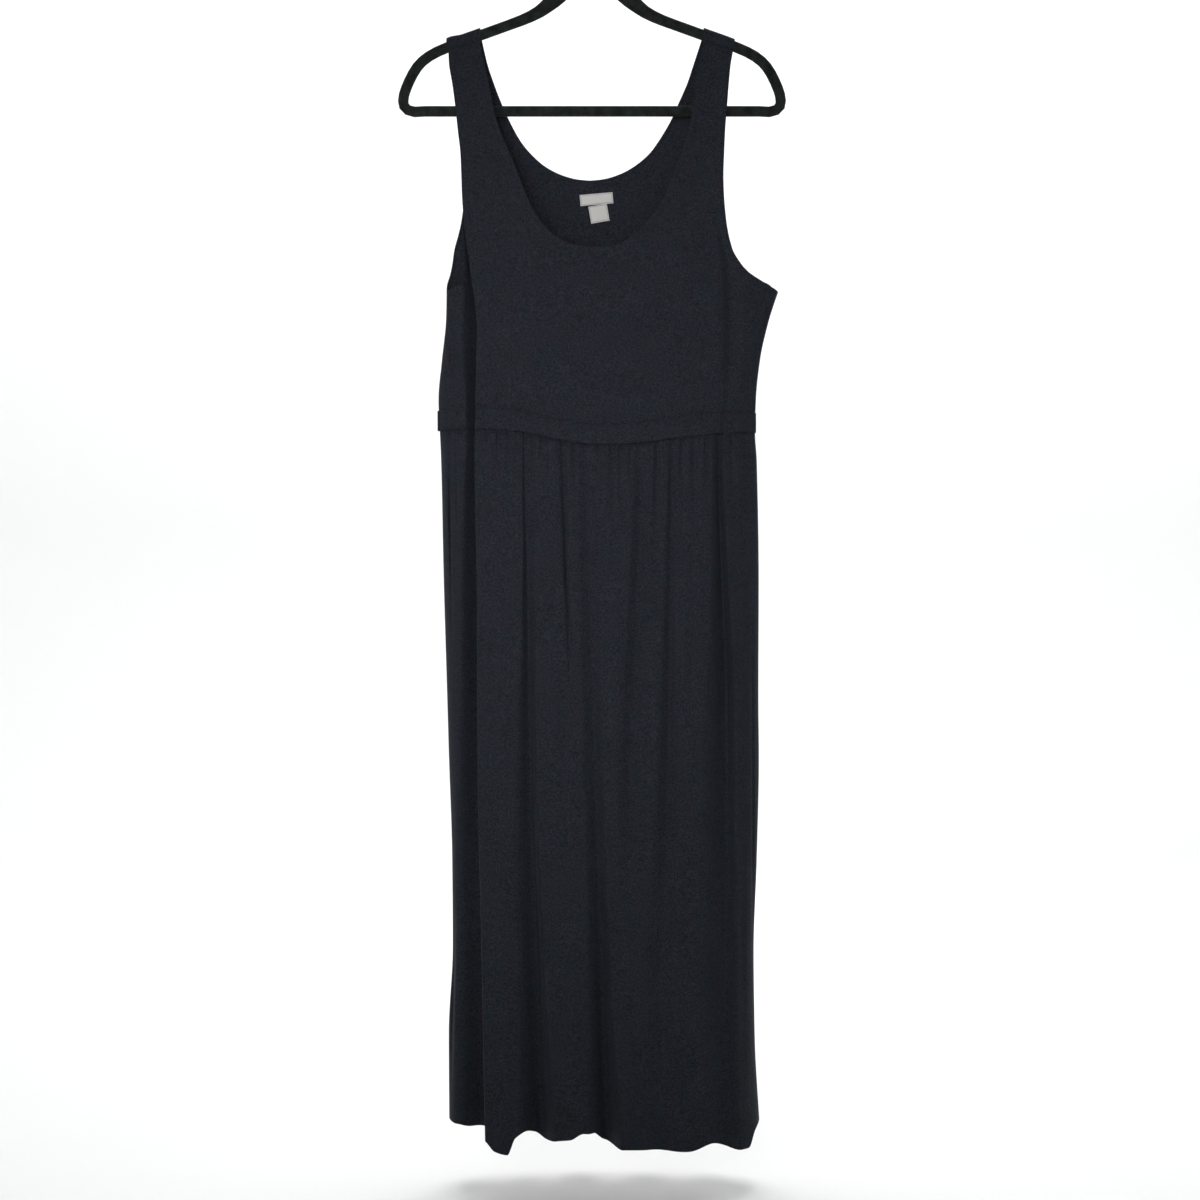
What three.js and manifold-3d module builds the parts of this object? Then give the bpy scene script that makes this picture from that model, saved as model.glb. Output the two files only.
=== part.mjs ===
// A sleeveless jersey maxi dress hanging from a slim flocked hanger.
// Sizes are in millimetres. +Z is up, the front of the dress faces -Y, and the origin is the point
// inside the hanger's hook where the rail bears. Left and right are the viewer's, seen from the front.

import * as THREE from "three";
import { mergeVertices } from "three/addons/utils/BufferGeometryUtils.js";
import Module from "manifold-3d";

// Cloth and seams
const JERSEY_WALL = 1.5;
const BAND_WALL = 2.2;
const BAND_PROUD = 1.3;
const LABEL_WALL = 1.0;
const SEAM_GAP = 0.3;

// Hanger
const HANGER_THICK = 6;
const ARM_HALF = 6;
const BAR_Z = -225.4;
const NECK_TOP_Z = -58;
const NECK_HALF = 12.5;
const ARCH_Z = -82;
const HOOK_INNER_R = 22;
const WIRE_R = 1.8;
const STEM_DEPTH = 14;

// Heights that the panels are cut between
const UNDERARM_Z = -432.4;
const WAIST_Z = -592;
const HEM_Z = -1388;

// How the shoulder straps lie over the hanger's arms
const STRAP_CLEAR = 0.4;
const CROWN_CLEAR = 0.7;
const STRAP_R = HANGER_THICK / 2 + STRAP_CLEAR + JERSEY_WALL;
const SHOULDER_SEAM = 18;
const OVER_HANGER_Z = -238;

// Tables. Each row is a height or a fold, and each column has a name.

// The body's side outlines, and how far its front and back stand off the hanger's plane. The turn
// columns say how squarely the front turns in to each side seam. Above the underarm the outlines
// only steer the curve of the panels.
const SECTIONS = [
  { z: -120, left: -250, right: 250, front: 6.0, back: 6.0, turnLeft: 6, turnRight: 3.4 },
  { z: -160, left: -245, right: 248, front: 6.4, back: 6.2, turnLeft: 6, turnRight: 3.4 },
  { z: -232, left: -225, right: 242, front: 12.0, back: 10.0, turnLeft: 6, turnRight: 3.4 },
  { z: -306, left: -202, right: 234, front: 18.0, back: 13.0, turnLeft: 6, turnRight: 3.4 },
  { z: -386, left: -178, right: 223, front: 23.5, back: 16.0, turnLeft: 6, turnRight: 3.4 },
  { z: UNDERARM_Z, left: -166.8, right: 213.4, front: 25.5, back: 18.0, turnLeft: 6, turnRight: 3.4 },
  { z: -445, left: -166.9, right: 209.2, front: 26.0, back: 18.5, turnLeft: 6, turnRight: 3.4 },
  { z: -465, left: -167.4, right: 202.9, front: 26.5, back: 19.5, turnLeft: 6, turnRight: 3.4 },
  { z: -510, left: -172.0, right: 192.8, front: 27.5, back: 21.0, turnLeft: 6, turnRight: 3.4 },
  { z: -556, left: -176.0, right: 188.0, front: 28.5, back: 23.0, turnLeft: 6, turnRight: 3.4 },
  { z: -592, left: -174.5, right: 187.0, front: 30.0, back: 25.0, turnLeft: 6, turnRight: 3.4 },
  { z: -625, left: -173.0, right: 189.0, front: 37.0, back: 31.0, turnLeft: 6, turnRight: 3.4 },
  { z: -763, left: -170.0, right: 191.2, front: 40.0, back: 33.0, turnLeft: 6, turnRight: 3.8 },
  { z: -900, left: -166.0, right: 190.8, front: 42.0, back: 34.0, turnLeft: 6, turnRight: 4.4 },
  { z: -970, left: -164.0, right: 191.4, front: 42.5, back: 34.5, turnLeft: 6, turnRight: 4.8 },
  { z: -1084, left: -160.4, right: 189.0, front: 43.5, back: 35.0, turnLeft: 6, turnRight: 5.4 },
  { z: -1190, left: -159.6, right: 185.4, front: 44.5, back: 36.0, turnLeft: 6, turnRight: 6 },
  { z: -1290, left: -164.2, right: 186.6, front: 46.0, back: 37.0, turnLeft: 6, turnRight: 6.6 },
  { z: -1400, left: -163.6, right: 192.4, front: 48.0, back: 38.0, turnLeft: 6, turnRight: 7 },
];
const TURN_BACK = 3.2;
const TURN_EASE = 0.6;
const LEAST_STAND = 2.5;

const FRONT_NECK = [
  { z: -191, left: -118.8, right: 119.2 },
  { z: -245, left: -106.8, right: 111.6 },
  { z: -271, left: -96.3, right: 103.9 },
  { z: -301, left: -84.0, right: 92.2 },
  { z: -331, left: -72.6, right: 80.4 },
  { z: -352, left: -61.0, right: 66.8 },
  { z: -369, left: -47.5, right: 51.8 },
  { z: -380, left: -32.0, right: 37.5 },
  { z: -385, left: -13.0, right: 25.0 },
  { z: -386.3, left: 8.0, right: 8.0 },
];
const BACK_NECK = [
  { z: -170, left: -119.9, right: 116.6 },
  { z: -191, left: -112.9, right: 109.5 },
  { z: -212, left: -104.8, right: 100.2 },
  { z: -232, left: -95.8, right: 91.2 },
  { z: -257, left: -81.8, right: 76.2 },
  { z: -271, left: -70.2, right: 65.5 },
  { z: -284, left: -55.6, right: 50.0 },
  { z: -293.4, left: -38.6, right: 33.2 },
  { z: -299.2, left: -20.0, right: 14.8 },
  { z: -301.2, left: -2.3, right: -2.3 },
];

// The armholes' edges. On the viewer's left the front edge ends where the front panel folds
// back, and the underarm lies beside it, behind the fold.
const FRONT_ARMHOLE = [
  { z: -175, left: -161.8, right: 156.8 },
  { z: -197, left: -158.6, right: 155.4 },
  { z: -223, left: -155.8, right: 154.0 },
  { z: -249, left: -152.9, right: 151.8 },
  { z: -277, left: -149.6, right: 150.4 },
  { z: -304, left: -148.3, right: 149.4 },
  { z: -331, left: -147.2, right: 150.2 },
  { z: -359, left: -144.9, right: 152.8 },
  { z: -378, left: -142.5, right: 156.4 },
  { z: -390, left: -140.9, right: 160.2 },
  { z: -401, left: -139.3, right: 166.6 },
  { z: -412, left: -137.4, right: 175.8 },
  { z: -424, left: -135.6, right: 195.4 },
  { z: UNDERARM_Z, right: 213.4 },
];
const BACK_ARMHOLE = [
  { z: -175, left: -161.4, right: 156.2 },
  { z: -223, left: -155.6, right: 153.4 },
  { z: -277, left: -149.8, right: 149.6 },
  { z: -328, left: -148.4, right: 149.4 },
  { z: -355, left: -151.9, right: 151.8 },
  { z: -383, left: -158.8, right: 157.0 },
  { z: -397, left: -160.6, right: 163.2 },
  { z: -411, left: -163.0, right: 173.6 },
  { z: -424, left: -166.4, right: 192.0 },
  { z: UNDERARM_Z, left: -166.8, right: 213.4 },
];
const STRAP_EDGES = { left: -166.6, right: 163.4, neckLeft: -128.2, neckRight: 128.2 };

// How many rows of each bodice panel end on the neckline, and how many on the armhole
const FRONT_ROWS = { neck: 14, armhole: 14, all: 22 };
const BACK_ROWS = { neck: 11, armhole: 12, all: 19 };
const WAIST_FINER = 3;

// The waist seams dip at the middle, where the weight of the skirt pulls the bodice down.
const BAND_LINES = [
  { x: -200, top: -569.4, bottom: -592.0, backTop: -569.4, backBottom: -592.0 },
  { x: -137, top: -569.4, bottom: -592.2, backTop: -569.8, backBottom: -592.4 },
  { x: -100, top: -570.8, bottom: -593.8, backTop: -571.6, backBottom: -594.4 },
  { x: -64, top: -576.2, bottom: -598.8, backTop: -574.0, backBottom: -596.6 },
  { x: -36, top: -583.0, bottom: -605.4, backTop: -575.8, backBottom: -598.2 },
  { x: 0, top: -588.2, bottom: -610.4, backTop: -577.0, backBottom: -599.4 },
  { x: 22, top: -588.4, bottom: -610.8, backTop: -577.2, backBottom: -599.6 },
  { x: 56, top: -586.0, bottom: -608.6, backTop: -576.4, backBottom: -598.8 },
  { x: 100, top: -579.4, bottom: -602.4, backTop: -574.4, backBottom: -597.2 },
  { x: 134, top: -575.2, bottom: -598.2, backTop: -572.8, backBottom: -595.6 },
  { x: 168, top: -572.4, bottom: -595.0, backTop: -571.8, backBottom: -594.4 },
  { x: 200, top: -571.6, bottom: -594.0, backTop: -571.6, backBottom: -594.0 },
];

const HEM_LINE = [
  { x: -170, front: -1378, back: -1378 },
  { x: -152, front: -1378, back: -1380 },
  { x: -140, front: -1382, back: -1382 },
  { x: -128, front: -1384, back: -1384 },
  { x: -118, front: -1391, back: -1386 },
  { x: -108, front: -1401, back: -1388 },
  { x: -94, front: -1404, back: -1389 },
  { x: -85, front: -1385, back: -1388 },
  { x: -74, front: -1379, back: -1386 },
  { x: -64, front: -1384, back: -1385 },
  { x: -52, front: -1393, back: -1383 },
  { x: -38, front: -1388, back: -1384 },
  { x: -24, front: -1387, back: -1386 },
  { x: -9, front: -1380, back: -1389 },
  { x: 2, front: -1381, back: -1389 },
  { x: 14, front: -1394, back: -1389 },
  { x: 24, front: -1398, back: -1388 },
  { x: 65, front: -1398, back: -1384 },
  { x: 106, front: -1400, back: -1386 },
  { x: 134, front: -1394, back: -1388 },
  { x: 158, front: -1401, back: -1387 },
  { x: 177, front: -1402, back: -1384 },
  { x: 185, front: -1386, back: -1381 },
  { x: 192, front: -1379, back: -1379 },
];

// Long folds: where the trough lies at each height, how deep it is pressed, and how far it
// spreads to the viewer's left and right.
const FRONT_FOLDS = {
  leftCrease: [
    { z: -400, x: -146.0, depth: 0, left: 22, right: 8 },
    { z: -424, x: -143.6, depth: 15, left: 22, right: 8 },
    { z: -440, x: -140.6, depth: 19, left: 26, right: 7.6 },
    { z: -470, x: -137.4, depth: 21, left: 28, right: 8 },
    { z: -560, x: -139.0, depth: 21, left: 30, right: 8 },
    { z: -610, x: -139.6, depth: 24, left: 30, right: 8 },
    { z: -786, x: -137.2, depth: 31, left: 30, right: 8.6 },
    { z: -997, x: -136.6, depth: 34, left: 28, right: 9.2 },
    { z: -1181, x: -132.6, depth: 36, left: 28, right: 9.8 },
    { z: -1400, x: -129.2, depth: 41, left: 32, right: 11 },
  ],
  secondCrease: [
    { z: -560, x: -79.0, depth: 0, left: 8, right: 5 },
    { z: -605, x: -78.0, depth: 4, left: 8, right: 5 },
    { z: -786, x: -76.0, depth: 9, left: 14, right: 7 },
    { z: -997, x: -70.0, depth: 14, left: 19, right: 8 },
    { z: -1181, x: -63.0, depth: 20, left: 22, right: 12 },
    { z: -1400, x: -55.5, depth: 29, left: 24, right: 20 },
  ],
  middleCrease: [
    { z: -580, x: -8.0, depth: 0, left: 11, right: 10 },
    { z: -605, x: -6.0, depth: 3, left: 12, right: 11 },
    { z: -786, x: -1.0, depth: 5, left: 14, right: 12 },
    { z: -997, x: 5.0, depth: 7, left: 14, right: 10 },
    { z: -1181, x: 11.0, depth: 13, left: 17, right: 11 },
    { z: -1400, x: 18.5, depth: 25, left: 24, right: 17 },
  ],
  softTrough: [
    { z: -585, x: 55.0, depth: 0, left: 10, right: 10 },
    { z: -610, x: 55.0, depth: 3, left: 10, right: 10 },
    { z: -786, x: 51.0, depth: 6, left: 13, right: 13 },
    { z: -997, x: 43.0, depth: 5, left: 15, right: 15 },
    { z: -1130, x: 42.0, depth: 0, left: 15, right: 15 },
  ],
  rightCrease: [
    { z: -580, x: 90.0, depth: 0, left: 7, right: 6 },
    { z: -605, x: 89.5, depth: 4, left: 7, right: 6 },
    { z: -786, x: 88.0, depth: 7, left: 11, right: 8 },
    { z: -997, x: 85.0, depth: 9, left: 16, right: 12 },
    { z: -1181, x: 79.0, depth: 6, left: 22, right: 20 },
    { z: -1400, x: 76.0, depth: 3, left: 24, right: 24 },
  ],
  rightTrough: [
    { z: -575, x: 144.0, depth: 0, left: 6, right: 7 },
    { z: -605, x: 143.6, depth: 8, left: 7, right: 7 },
    { z: -740, x: 147.0, depth: 15, left: 11, right: 10 },
    { z: -876, x: 151.5, depth: 18, left: 19, right: 14 },
    { z: -1068, x: 151.0, depth: 16, left: 28, right: 18 },
    { z: -1237, x: 149.0, depth: 13, left: 28, right: 18 },
    { z: -1400, x: 152.0, depth: 10, left: 28, right: 18 },
  ],
};
const BODICE_FOLD = [
  { z: -140, x: 152.0, depth: 0, left: 8, right: 12 },
  { z: -300, x: 137.0, depth: 0, left: 8, right: 12 },
  { z: -350, x: 141.0, depth: 0, left: 8, right: 12 },
  { z: -390, x: 151.0, depth: 3, left: 8, right: 14 },
  { z: -432, x: 155.5, depth: 7, left: 9, right: 20 },
  { z: -482, x: 157.0, depth: 8, left: 9, right: 20 },
  { z: -530, x: 155.0, depth: 4, left: 9, right: 18 },
  { z: -600, x: 150.0, depth: 3, left: 8, right: 16 },
];
const BACK_FOLDS = {
  backOuterLeft: [
    { z: -590, x: -118.0, depth: 0, left: 8, right: 10 },
    { z: -640, x: -117.0, depth: 8, left: 9, right: 12 },
    { z: -900, x: -112.0, depth: 12, left: 12, right: 18 },
    { z: -1400, x: -104.0, depth: 18, left: 20, right: 24 },
  ],
  backInnerLeft: [
    { z: -590, x: -42.0, depth: 0, left: 8, right: 8 },
    { z: -650, x: -42.0, depth: 6, left: 9, right: 10 },
    { z: -950, x: -48.0, depth: 11, left: 16, right: 14 },
    { z: -1400, x: -52.0, depth: 20, left: 24, right: 20 },
  ],
  backInnerRight: [
    { z: -590, x: 36.0, depth: 0, left: 8, right: 8 },
    { z: -660, x: 37.0, depth: 7, left: 10, right: 8 },
    { z: -950, x: 30.0, depth: 10, left: 18, right: 12 },
    { z: -1400, x: 22.0, depth: 22, left: 22, right: 24 },
  ],
  backOuterRight: [
    { z: -590, x: 112.0, depth: 0, left: 8, right: 7 },
    { z: -640, x: 112.0, depth: 9, left: 10, right: 9 },
    { z: -900, x: 108.0, depth: 13, left: 16, right: 12 },
    { z: -1400, x: 100.0, depth: 17, left: 24, right: 18 },
  ],
};

// Gathers along the top of the skirt: where each is stitched into the band, how deep it is
// there and how far down it runs out.
const FRONT_GATHERS = [
  { x: -162, depth: 2.6, run: 170 },
  { x: -149, depth: 2.2, run: 60 },
  { x: -121, depth: 1.8, run: 40 },
  { x: -108, depth: 3.2, run: 95 },
  { x: -94, depth: 3.0, run: 70 },
  { x: -66, depth: 3.0, run: 60 },
  { x: -57, depth: 2.4, run: 45 },
  { x: -48, depth: 3.0, run: 65 },
  { x: -32.6, depth: 4.2, run: 290 },
  { x: -19, depth: 3.2, run: 85 },
  { x: 9, depth: 2.8, run: 55 },
  { x: 23, depth: 3.4, run: 120 },
  { x: 35, depth: 3.0, run: 95 },
  { x: 45, depth: 2.2, run: 45 },
  { x: 73.4, depth: 4.2, run: 190 },
  { x: 102, depth: 2.8, run: 65 },
  { x: 115, depth: 3.6, run: 115 },
  { x: 129.6, depth: 2.6, run: 75 },
  { x: 158, depth: 3.6, run: 140 },
  { x: 172, depth: 2.4, run: 60 },
];
const BACK_GATHERS = [
  { x: -160, depth: 2.8, run: 90 },
  { x: -147, depth: 3.2, run: 60 },
  { x: -133, depth: 2.6, run: 130 },
  { x: -104, depth: 3.4, run: 75 },
  { x: -92, depth: 2.6, run: 50 },
  { x: -80, depth: 3.6, run: 180 },
  { x: -67, depth: 2.8, run: 60 },
  { x: -55, depth: 3.0, run: 90 },
  { x: -29, depth: 3.2, run: 70 },
  { x: -16, depth: 2.6, run: 55 },
  { x: -3, depth: 3.8, run: 220 },
  { x: 10, depth: 2.8, run: 60 },
  { x: 23, depth: 3.2, run: 85 },
  { x: 49, depth: 3.0, run: 60 },
  { x: 61, depth: 2.6, run: 100 },
  { x: 74, depth: 3.6, run: 160 },
  { x: 87, depth: 2.8, run: 55 },
  { x: 99, depth: 3.0, run: 80 },
  { x: 125, depth: 3.4, run: 70 },
  { x: 138, depth: 2.6, run: 120 },
  { x: 151, depth: 3.2, run: 60 },
  { x: 165, depth: 2.8, run: 85 },
];

// Heights of the skirt's rows, as shares of the way from waist seam to hem. The first rows are
// close and have twice the columns, because the short gathers run out there.
const GATHER_ROWS = [0, 0.016, 0.042, 0.085];
const SKIRT_ROWS = [0.14, 0.22, 0.31, 0.41, 0.52, 0.64, 0.76, 0.88, 0.96, 1];

// Centreline of the hanger's right arm, from the neck to the bar, with its half height
const ARM = [
  { x: 24, z: -79, half: 11.6 },
  { x: 34.5, z: -88.5, half: 10.4 },
  { x: 43.6, z: -97.5, half: 9.4 },
  { x: 51.6, z: -104.4, half: 8.2 },
  { x: 60.2, z: -111, half: 7.2 },
  { x: 74, z: -118.3, half: 6.4 },
  { x: 91.8, z: -125.2, half: ARM_HALF },
  { x: 129.6, z: -138.9, half: ARM_HALF },
  { x: 164, z: -151.4, half: ARM_HALF },
  { x: 180.7, z: -158.8, half: ARM_HALF },
  { x: 192.7, z: -166.6, half: ARM_HALF },
  { x: 201.4, z: -176, half: ARM_HALF },
  { x: 208.2, z: -188, half: ARM_HALF },
  { x: 213.4, z: -200, half: ARM_HALF },
  { x: 216.3, z: -211, half: ARM_HALF },
  { x: 215.4, z: -219.6, half: ARM_HALF },
  { x: 208, z: BAR_Z, half: ARM_HALF },
  { x: 192, z: BAR_Z, half: ARM_HALF },
];

const CLOTH = { color: 0x24272e, roughness: 0.9, metalness: 0 };
const BAND = { color: 0x26292f, roughness: 0.88, metalness: 0 };
const LABEL = { color: 0xd8d6cf, roughness: 0.7, metalness: 0 };
const FLOCK = { color: 0x1b1d1d, roughness: 1, metalness: 0 };
const STEEL = { color: 0xb9bcc0, roughness: 0.25, metalness: 1 };

// Smooth value of one column of a table at a value of another. Slopes are limited so that the
// curve never overshoots its rows.
function lookUp(rows, by, column, value) {
  const rising = rows[rows.length - 1][by] > rows[0][by];
  const list = rising ? rows : [...rows].reverse();
  const at = (i) => list[i][by];
  const of = (i) => list[i][column];
  const last = list.length - 1;
  if (value <= at(0)) return of(0);
  if (value >= at(last)) return of(last);
  let i = 0;
  while (value > at(i + 1)) i++;
  const rise = (k) => (of(k + 1) - of(k)) / (at(k + 1) - at(k));
  const slope = (k) => {
    if (k === 0) return rise(0);
    if (k === last) return rise(last - 1);
    const before = rise(k - 1);
    const after = rise(k);
    return before * after <= 0 ? 0 : (2 * before * after) / (before + after);
  };
  const span = at(i + 1) - at(i);
  const t = (value - at(i)) / span;
  const t2 = t * t;
  const t3 = t2 * t;
  return (
    of(i) * (2 * t3 - 3 * t2 + 1) +
    slope(i) * span * (t3 - 2 * t2 + t) +
    of(i + 1) * (3 * t2 - 2 * t3) +
    slope(i + 1) * span * (t3 - t2)
  );
}

const mix = (a, b, t) => a + (b - a) * t;

// 1 in a trough's middle, falling softly to 0 at its edge
function trough(offset, left, right) {
  const t = Math.abs(offset) / (offset < 0 ? left : right);
  return t >= 1 ? 0 : 0.5 + 0.5 * Math.cos(Math.PI * t);
}

function foldDepth(rows, x, z) {
  if (z > rows[0].z) return 0;
  const get = (column) => lookUp(rows, "z", column, z);
  return get("depth") * trough(x - get("x"), get("left"), get("right"));
}

function foldsDepth(folds, x, z) {
  return Object.values(folds).reduce((sum, rows) => sum + foldDepth(rows, x, z), 0);
}

// Rounded profile of a panel across its width: 1 at the middle, 0 at the side seams
function profile(x, z, turnLeft, turnRight) {
  const left = lookUp(SECTIONS, "z", "left", z);
  const right = lookUp(SECTIONS, "z", "right", z);
  const across = (2 * x - left - right) / (right - left);
  const turn = across < 0 ? turnLeft : turnRight;
  return Math.pow(Math.max(0, 1 - Math.pow(Math.abs(across), turn)), TURN_EASE);
}

// Folds press a panel in, but never onto the panel behind it, and the straps stay clear of the
// hanger between them
function pressed(stand, depth, z) {
  const y = Math.max(stand - depth, Math.min(stand, LEAST_STAND));
  return z > OVER_HANGER_Z ? Math.max(y, STRAP_R) : y;
}

// Distance of the outer face in front of the hanger's plane, without the skirt's gathers
function frontStand(x, z, folds) {
  const turnLeft = lookUp(SECTIONS, "z", "turnLeft", z);
  const turnRight = lookUp(SECTIONS, "z", "turnRight", z);
  const stand = lookUp(SECTIONS, "z", "front", z) * profile(x, z, turnLeft, turnRight);
  return pressed(stand, foldsDepth(folds, x, z), z);
}

function backStand(x, z, folds) {
  const stand = lookUp(SECTIONS, "z", "back", z) * profile(x, z, TURN_BACK, TURN_BACK);
  return pressed(stand, foldsDepth(folds, x, z), z);
}

const BODICE_FOLDS = { leftCrease: FRONT_FOLDS.leftCrease, bodiceFold: BODICE_FOLD };

// Builds a closed wall from rows of outer points. A point may say hold: "y" or "z", which keeps
// the wall's edge there square to that axis, so that two panels meet evenly at a seam.
function clothWall(name, finish, patches, wall, facesBack) {
  const points = [];
  const indexOf = new Map();
  const faces = [];
  const add = (p) => {
    const key = [p.x, p.y, p.z].map((v) => v.toFixed(3)).join();
    if (!indexOf.has(key)) {
      indexOf.set(key, points.length);
      points.push({ ...p, normal: new THREE.Vector3() });
    }
    return indexOf.get(key);
  };
  const face = (a, b, c) => {
    if (a === b || b === c || c === a) return;
    faces.push(facesBack ? [a, c, b] : [a, b, c]);
  };
  for (const rows of patches) {
    const grid = rows.map((row) => row.map(add));
    for (let r = 0; r + 1 < grid.length; r++) {
      zip(grid[r], grid[r + 1], rows[r], rows[r + 1], face);
    }
  }
  const [pa, pb, pc] = [new THREE.Vector3(), new THREE.Vector3(), new THREE.Vector3()];
  for (const [a, b, c] of faces) {
    pa.copy(points[a]);
    pb.copy(points[b]).sub(pa);
    pc.copy(points[c]).sub(pa);
    pb.cross(pc);
    for (const i of [a, b, c]) points[i].normal.add(pb);
  }
  for (const p of points) {
    if (p.hold) p.normal[p.hold] = 0;
    p.normal.normalize();
  }
  const edges = new Map();
  for (const [a, b, c] of faces) {
    for (const [from, to] of [[a, b], [b, c], [c, a]]) {
      if (!edges.delete(`${to},${from}`)) edges.set(`${from},${to}`, [from, to]);
    }
  }
  const count = points.length;
  const triangles = [];
  for (const [a, b, c] of faces) triangles.push(a, b, c, count + a, count + c, count + b);
  for (const [a, b] of edges.values()) triangles.push(b, a, count + a, b, count + a, count + b);
  const inner = points.map((p) => new THREE.Vector3().copy(p).addScaledVector(p.normal, -wall));
  const positions = [...points, ...inner].flatMap((p) => [p.x, p.y, p.z]);
  return meshOf(name, finish, positions, triangles);
}

// Fills the strip between two rows with triangles, whatever number of points each row has
function zip(upper, lower, upperPoints, lowerPoints, face) {
  let u = 0;
  let l = 0;
  while (u + 1 < upper.length || l + 1 < lower.length) {
    const upperNext = u + 1 < upper.length ? upperPoints[u + 1].s : Infinity;
    const lowerNext = l + 1 < lower.length ? lowerPoints[l + 1].s : Infinity;
    if (lowerNext <= upperNext) {
      face(upper[u], lower[l], lower[l + 1]);
      l++;
    } else {
      face(upper[u], lower[l], upper[u + 1]);
      u++;
    }
  }
}

function meshOf(name, finish, positions, triangles) {
  const geometry = new THREE.BufferGeometry();
  geometry.setAttribute("position", new THREE.Float32BufferAttribute(positions, 3));
  geometry.setIndex(triangles);
  const mesh = new THREE.Mesh(geometry, new THREE.MeshStandardMaterial(finish));
  mesh.name = name;
  return mesh;
}

// Height of the strap's crown: the top of the arm, with the strap lying on it
const SHOULDER = ARM.filter((p) => p.x > 90 && p.x < 190);
const SHOULDER_SLOPE = -0.363;

function crownZ(x) {
  const arm = lookUp(SHOULDER, "x", "z", Math.abs(x));
  return arm + ARM_HALF * Math.hypot(1, SHOULDER_SLOPE) + CROWN_CLEAR + JERSEY_WALL;
}

// A point of the strap at a distance along the cloth from its crown, behind it if positive
function overArm(x, distance) {
  const angle = THREE.MathUtils.clamp(distance / STRAP_R, -Math.PI / 2, Math.PI / 2);
  const straight = Math.max(0, Math.abs(distance) - (STRAP_R * Math.PI) / 2);
  return {
    x,
    y: STRAP_R * Math.sin(angle),
    z: crownZ(x) - STRAP_R * (1 - Math.cos(angle)) - straight,
  };
}

const halfGap = SEAM_GAP / 2;
const bandLine = (column) => (x) => lookUp(BAND_LINES, "x", column, x);
const leftFold = (column, z) => lookUp(FRONT_FOLDS.leftCrease, "z", column, z);
const lipX = (z) => leftFold("x", z) + leftFold("right", z);

// A panel's edge as a curve, from its corner on the strap down the rows of a table
function edgeCurve(table, side, corner) {
  const rows = table.filter((row) => side in row);
  const points = [corner, ...rows.map((row) => ({ x: row[side], y: 0, z: row.z }))];
  return new THREE.CatmullRomCurve3(points.map((p) => new THREE.Vector3(p.x, 0, p.z)), false, "centripetal");
}

// Points on one edge of a half panel: so many along a curve, and the rest down a line to the waist
function edgePoints(curve, onCurve, all, lineX, waistZ) {
  const end = curve.getPointAt(1);
  return Array.from({ length: all }, (_, i) => {
    if (i < onCurve) return curve.getPointAt((i + 1) / onCurve);
    const z = mix(end.z, waistZ, (i + 1 - onCurve) / (all - onCurve));
    return new THREE.Vector3(lineX(z), 0, z);
  });
}

// The outer points of one half of a bodice panel, from its strap to the waist seam. Each row runs
// from the armhole and side to the neckline and centre line.
function halfBodice(side, spec) {
  const strapRow = (distance) => {
    const [outerX, innerX] = [STRAP_EDGES[side], STRAP_EDGES[side === "left" ? "neckLeft" : "neckRight"]];
    return spec.columns(side, outerX, innerX, -140).map((x, i) => ({ ...overArm(x, distance), s: i }));
  };
  const rows = spec.strapDistances.map(strapRow);
  const lastStrap = rows[rows.length - 1];
  const armhole = edgeCurve(spec.armhole, side, lastStrap[0]);
  const neck = edgeCurve(spec.neck, side, lastStrap[lastStrap.length - 1]);
  const sideX = spec.sideX[side];
  const outer = edgePoints(armhole, spec.rows.armhole, spec.rows.all, sideX, spec.waistLine(sideX(WAIST_Z)));
  const centreWaistZ = spec.waistLine(spec.centreX);
  const inner = edgePoints(neck, spec.rows.neck, spec.rows.all, () => spec.centreX, centreWaistZ);
  outer.forEach((start, r) => {
    const end = inner[r];
    const atWaist = r === spec.rows.all - 1;
    const onSeam = spec.seamed[side] && r >= spec.rows.armhole - 1;
    const xs = spec.columns(side, start.x, end.x, start.z);
    const finer = atWaist ? WAIST_FINER : 1;
    const steps = (xs.length - 1) * finer;
    rows.push(
      Array.from({ length: steps + 1 }, (_, i) => {
        const s = i / finer;
        const x = mix(xs[Math.floor(s)], xs[Math.min(Math.floor(s) + 1, xs.length - 1)], s % 1);
        const z = atWaist ? spec.waistLine(x) : mix(start.z, end.z, (x - start.x) / (end.x - start.x));
        const y = onSeam && i === 0 ? spec.front * halfGap : spec.front * spec.stand(x, z);
        return { x, y, z, s, hold: onSeam && i === 0 ? "y" : atWaist ? "z" : undefined };
      }),
    );
  });
  return side === "left" ? rows : flipped(rows);
}

const flipped = (rows) => rows.map((row) => row.map((p) => ({ ...p, s: -p.s })).reverse());

// The strip beside the left fold, between the side seam and the fold's lip
function leftStrip(mainRows, spec) {
  const strip = mainRows.slice(-(spec.rows.all - spec.rows.armhole + 1));
  const last = strip.length - 1;
  const waistZ = spec.waistLine(lookUp(SECTIONS, "z", "left", WAIST_Z));
  return strip.map((mainRow, r) => {
    const lip = mainRow[0];
    const outerZ = mix(UNDERARM_Z, waistZ, r / last);
    const outerX = lookUp(SECTIONS, "z", "left", outerZ);
    const [trough, left, right] = ["x", "left", "right"].map((column) => leftFold(column, lip.z));
    const near = [outerX, outerX + 1.2, outerX + 4];
    const xs = [...near, trough - left * 0.62, trough - left * 0.3, trough, trough + right * 0.5];
    const points = xs.map((x, i) => {
      const z = r === last ? spec.waistLine(x) : mix(outerZ, lip.z, (x - outerX) / (lip.x - outerX));
      const y = i === 0 ? -halfGap : -spec.stand(x, z);
      return { x, y, z, s: i, hold: i === 0 ? "y" : r === last ? "z" : undefined };
    });
    return [...points, { ...lip, s: xs.length }];
  });
}

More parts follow.
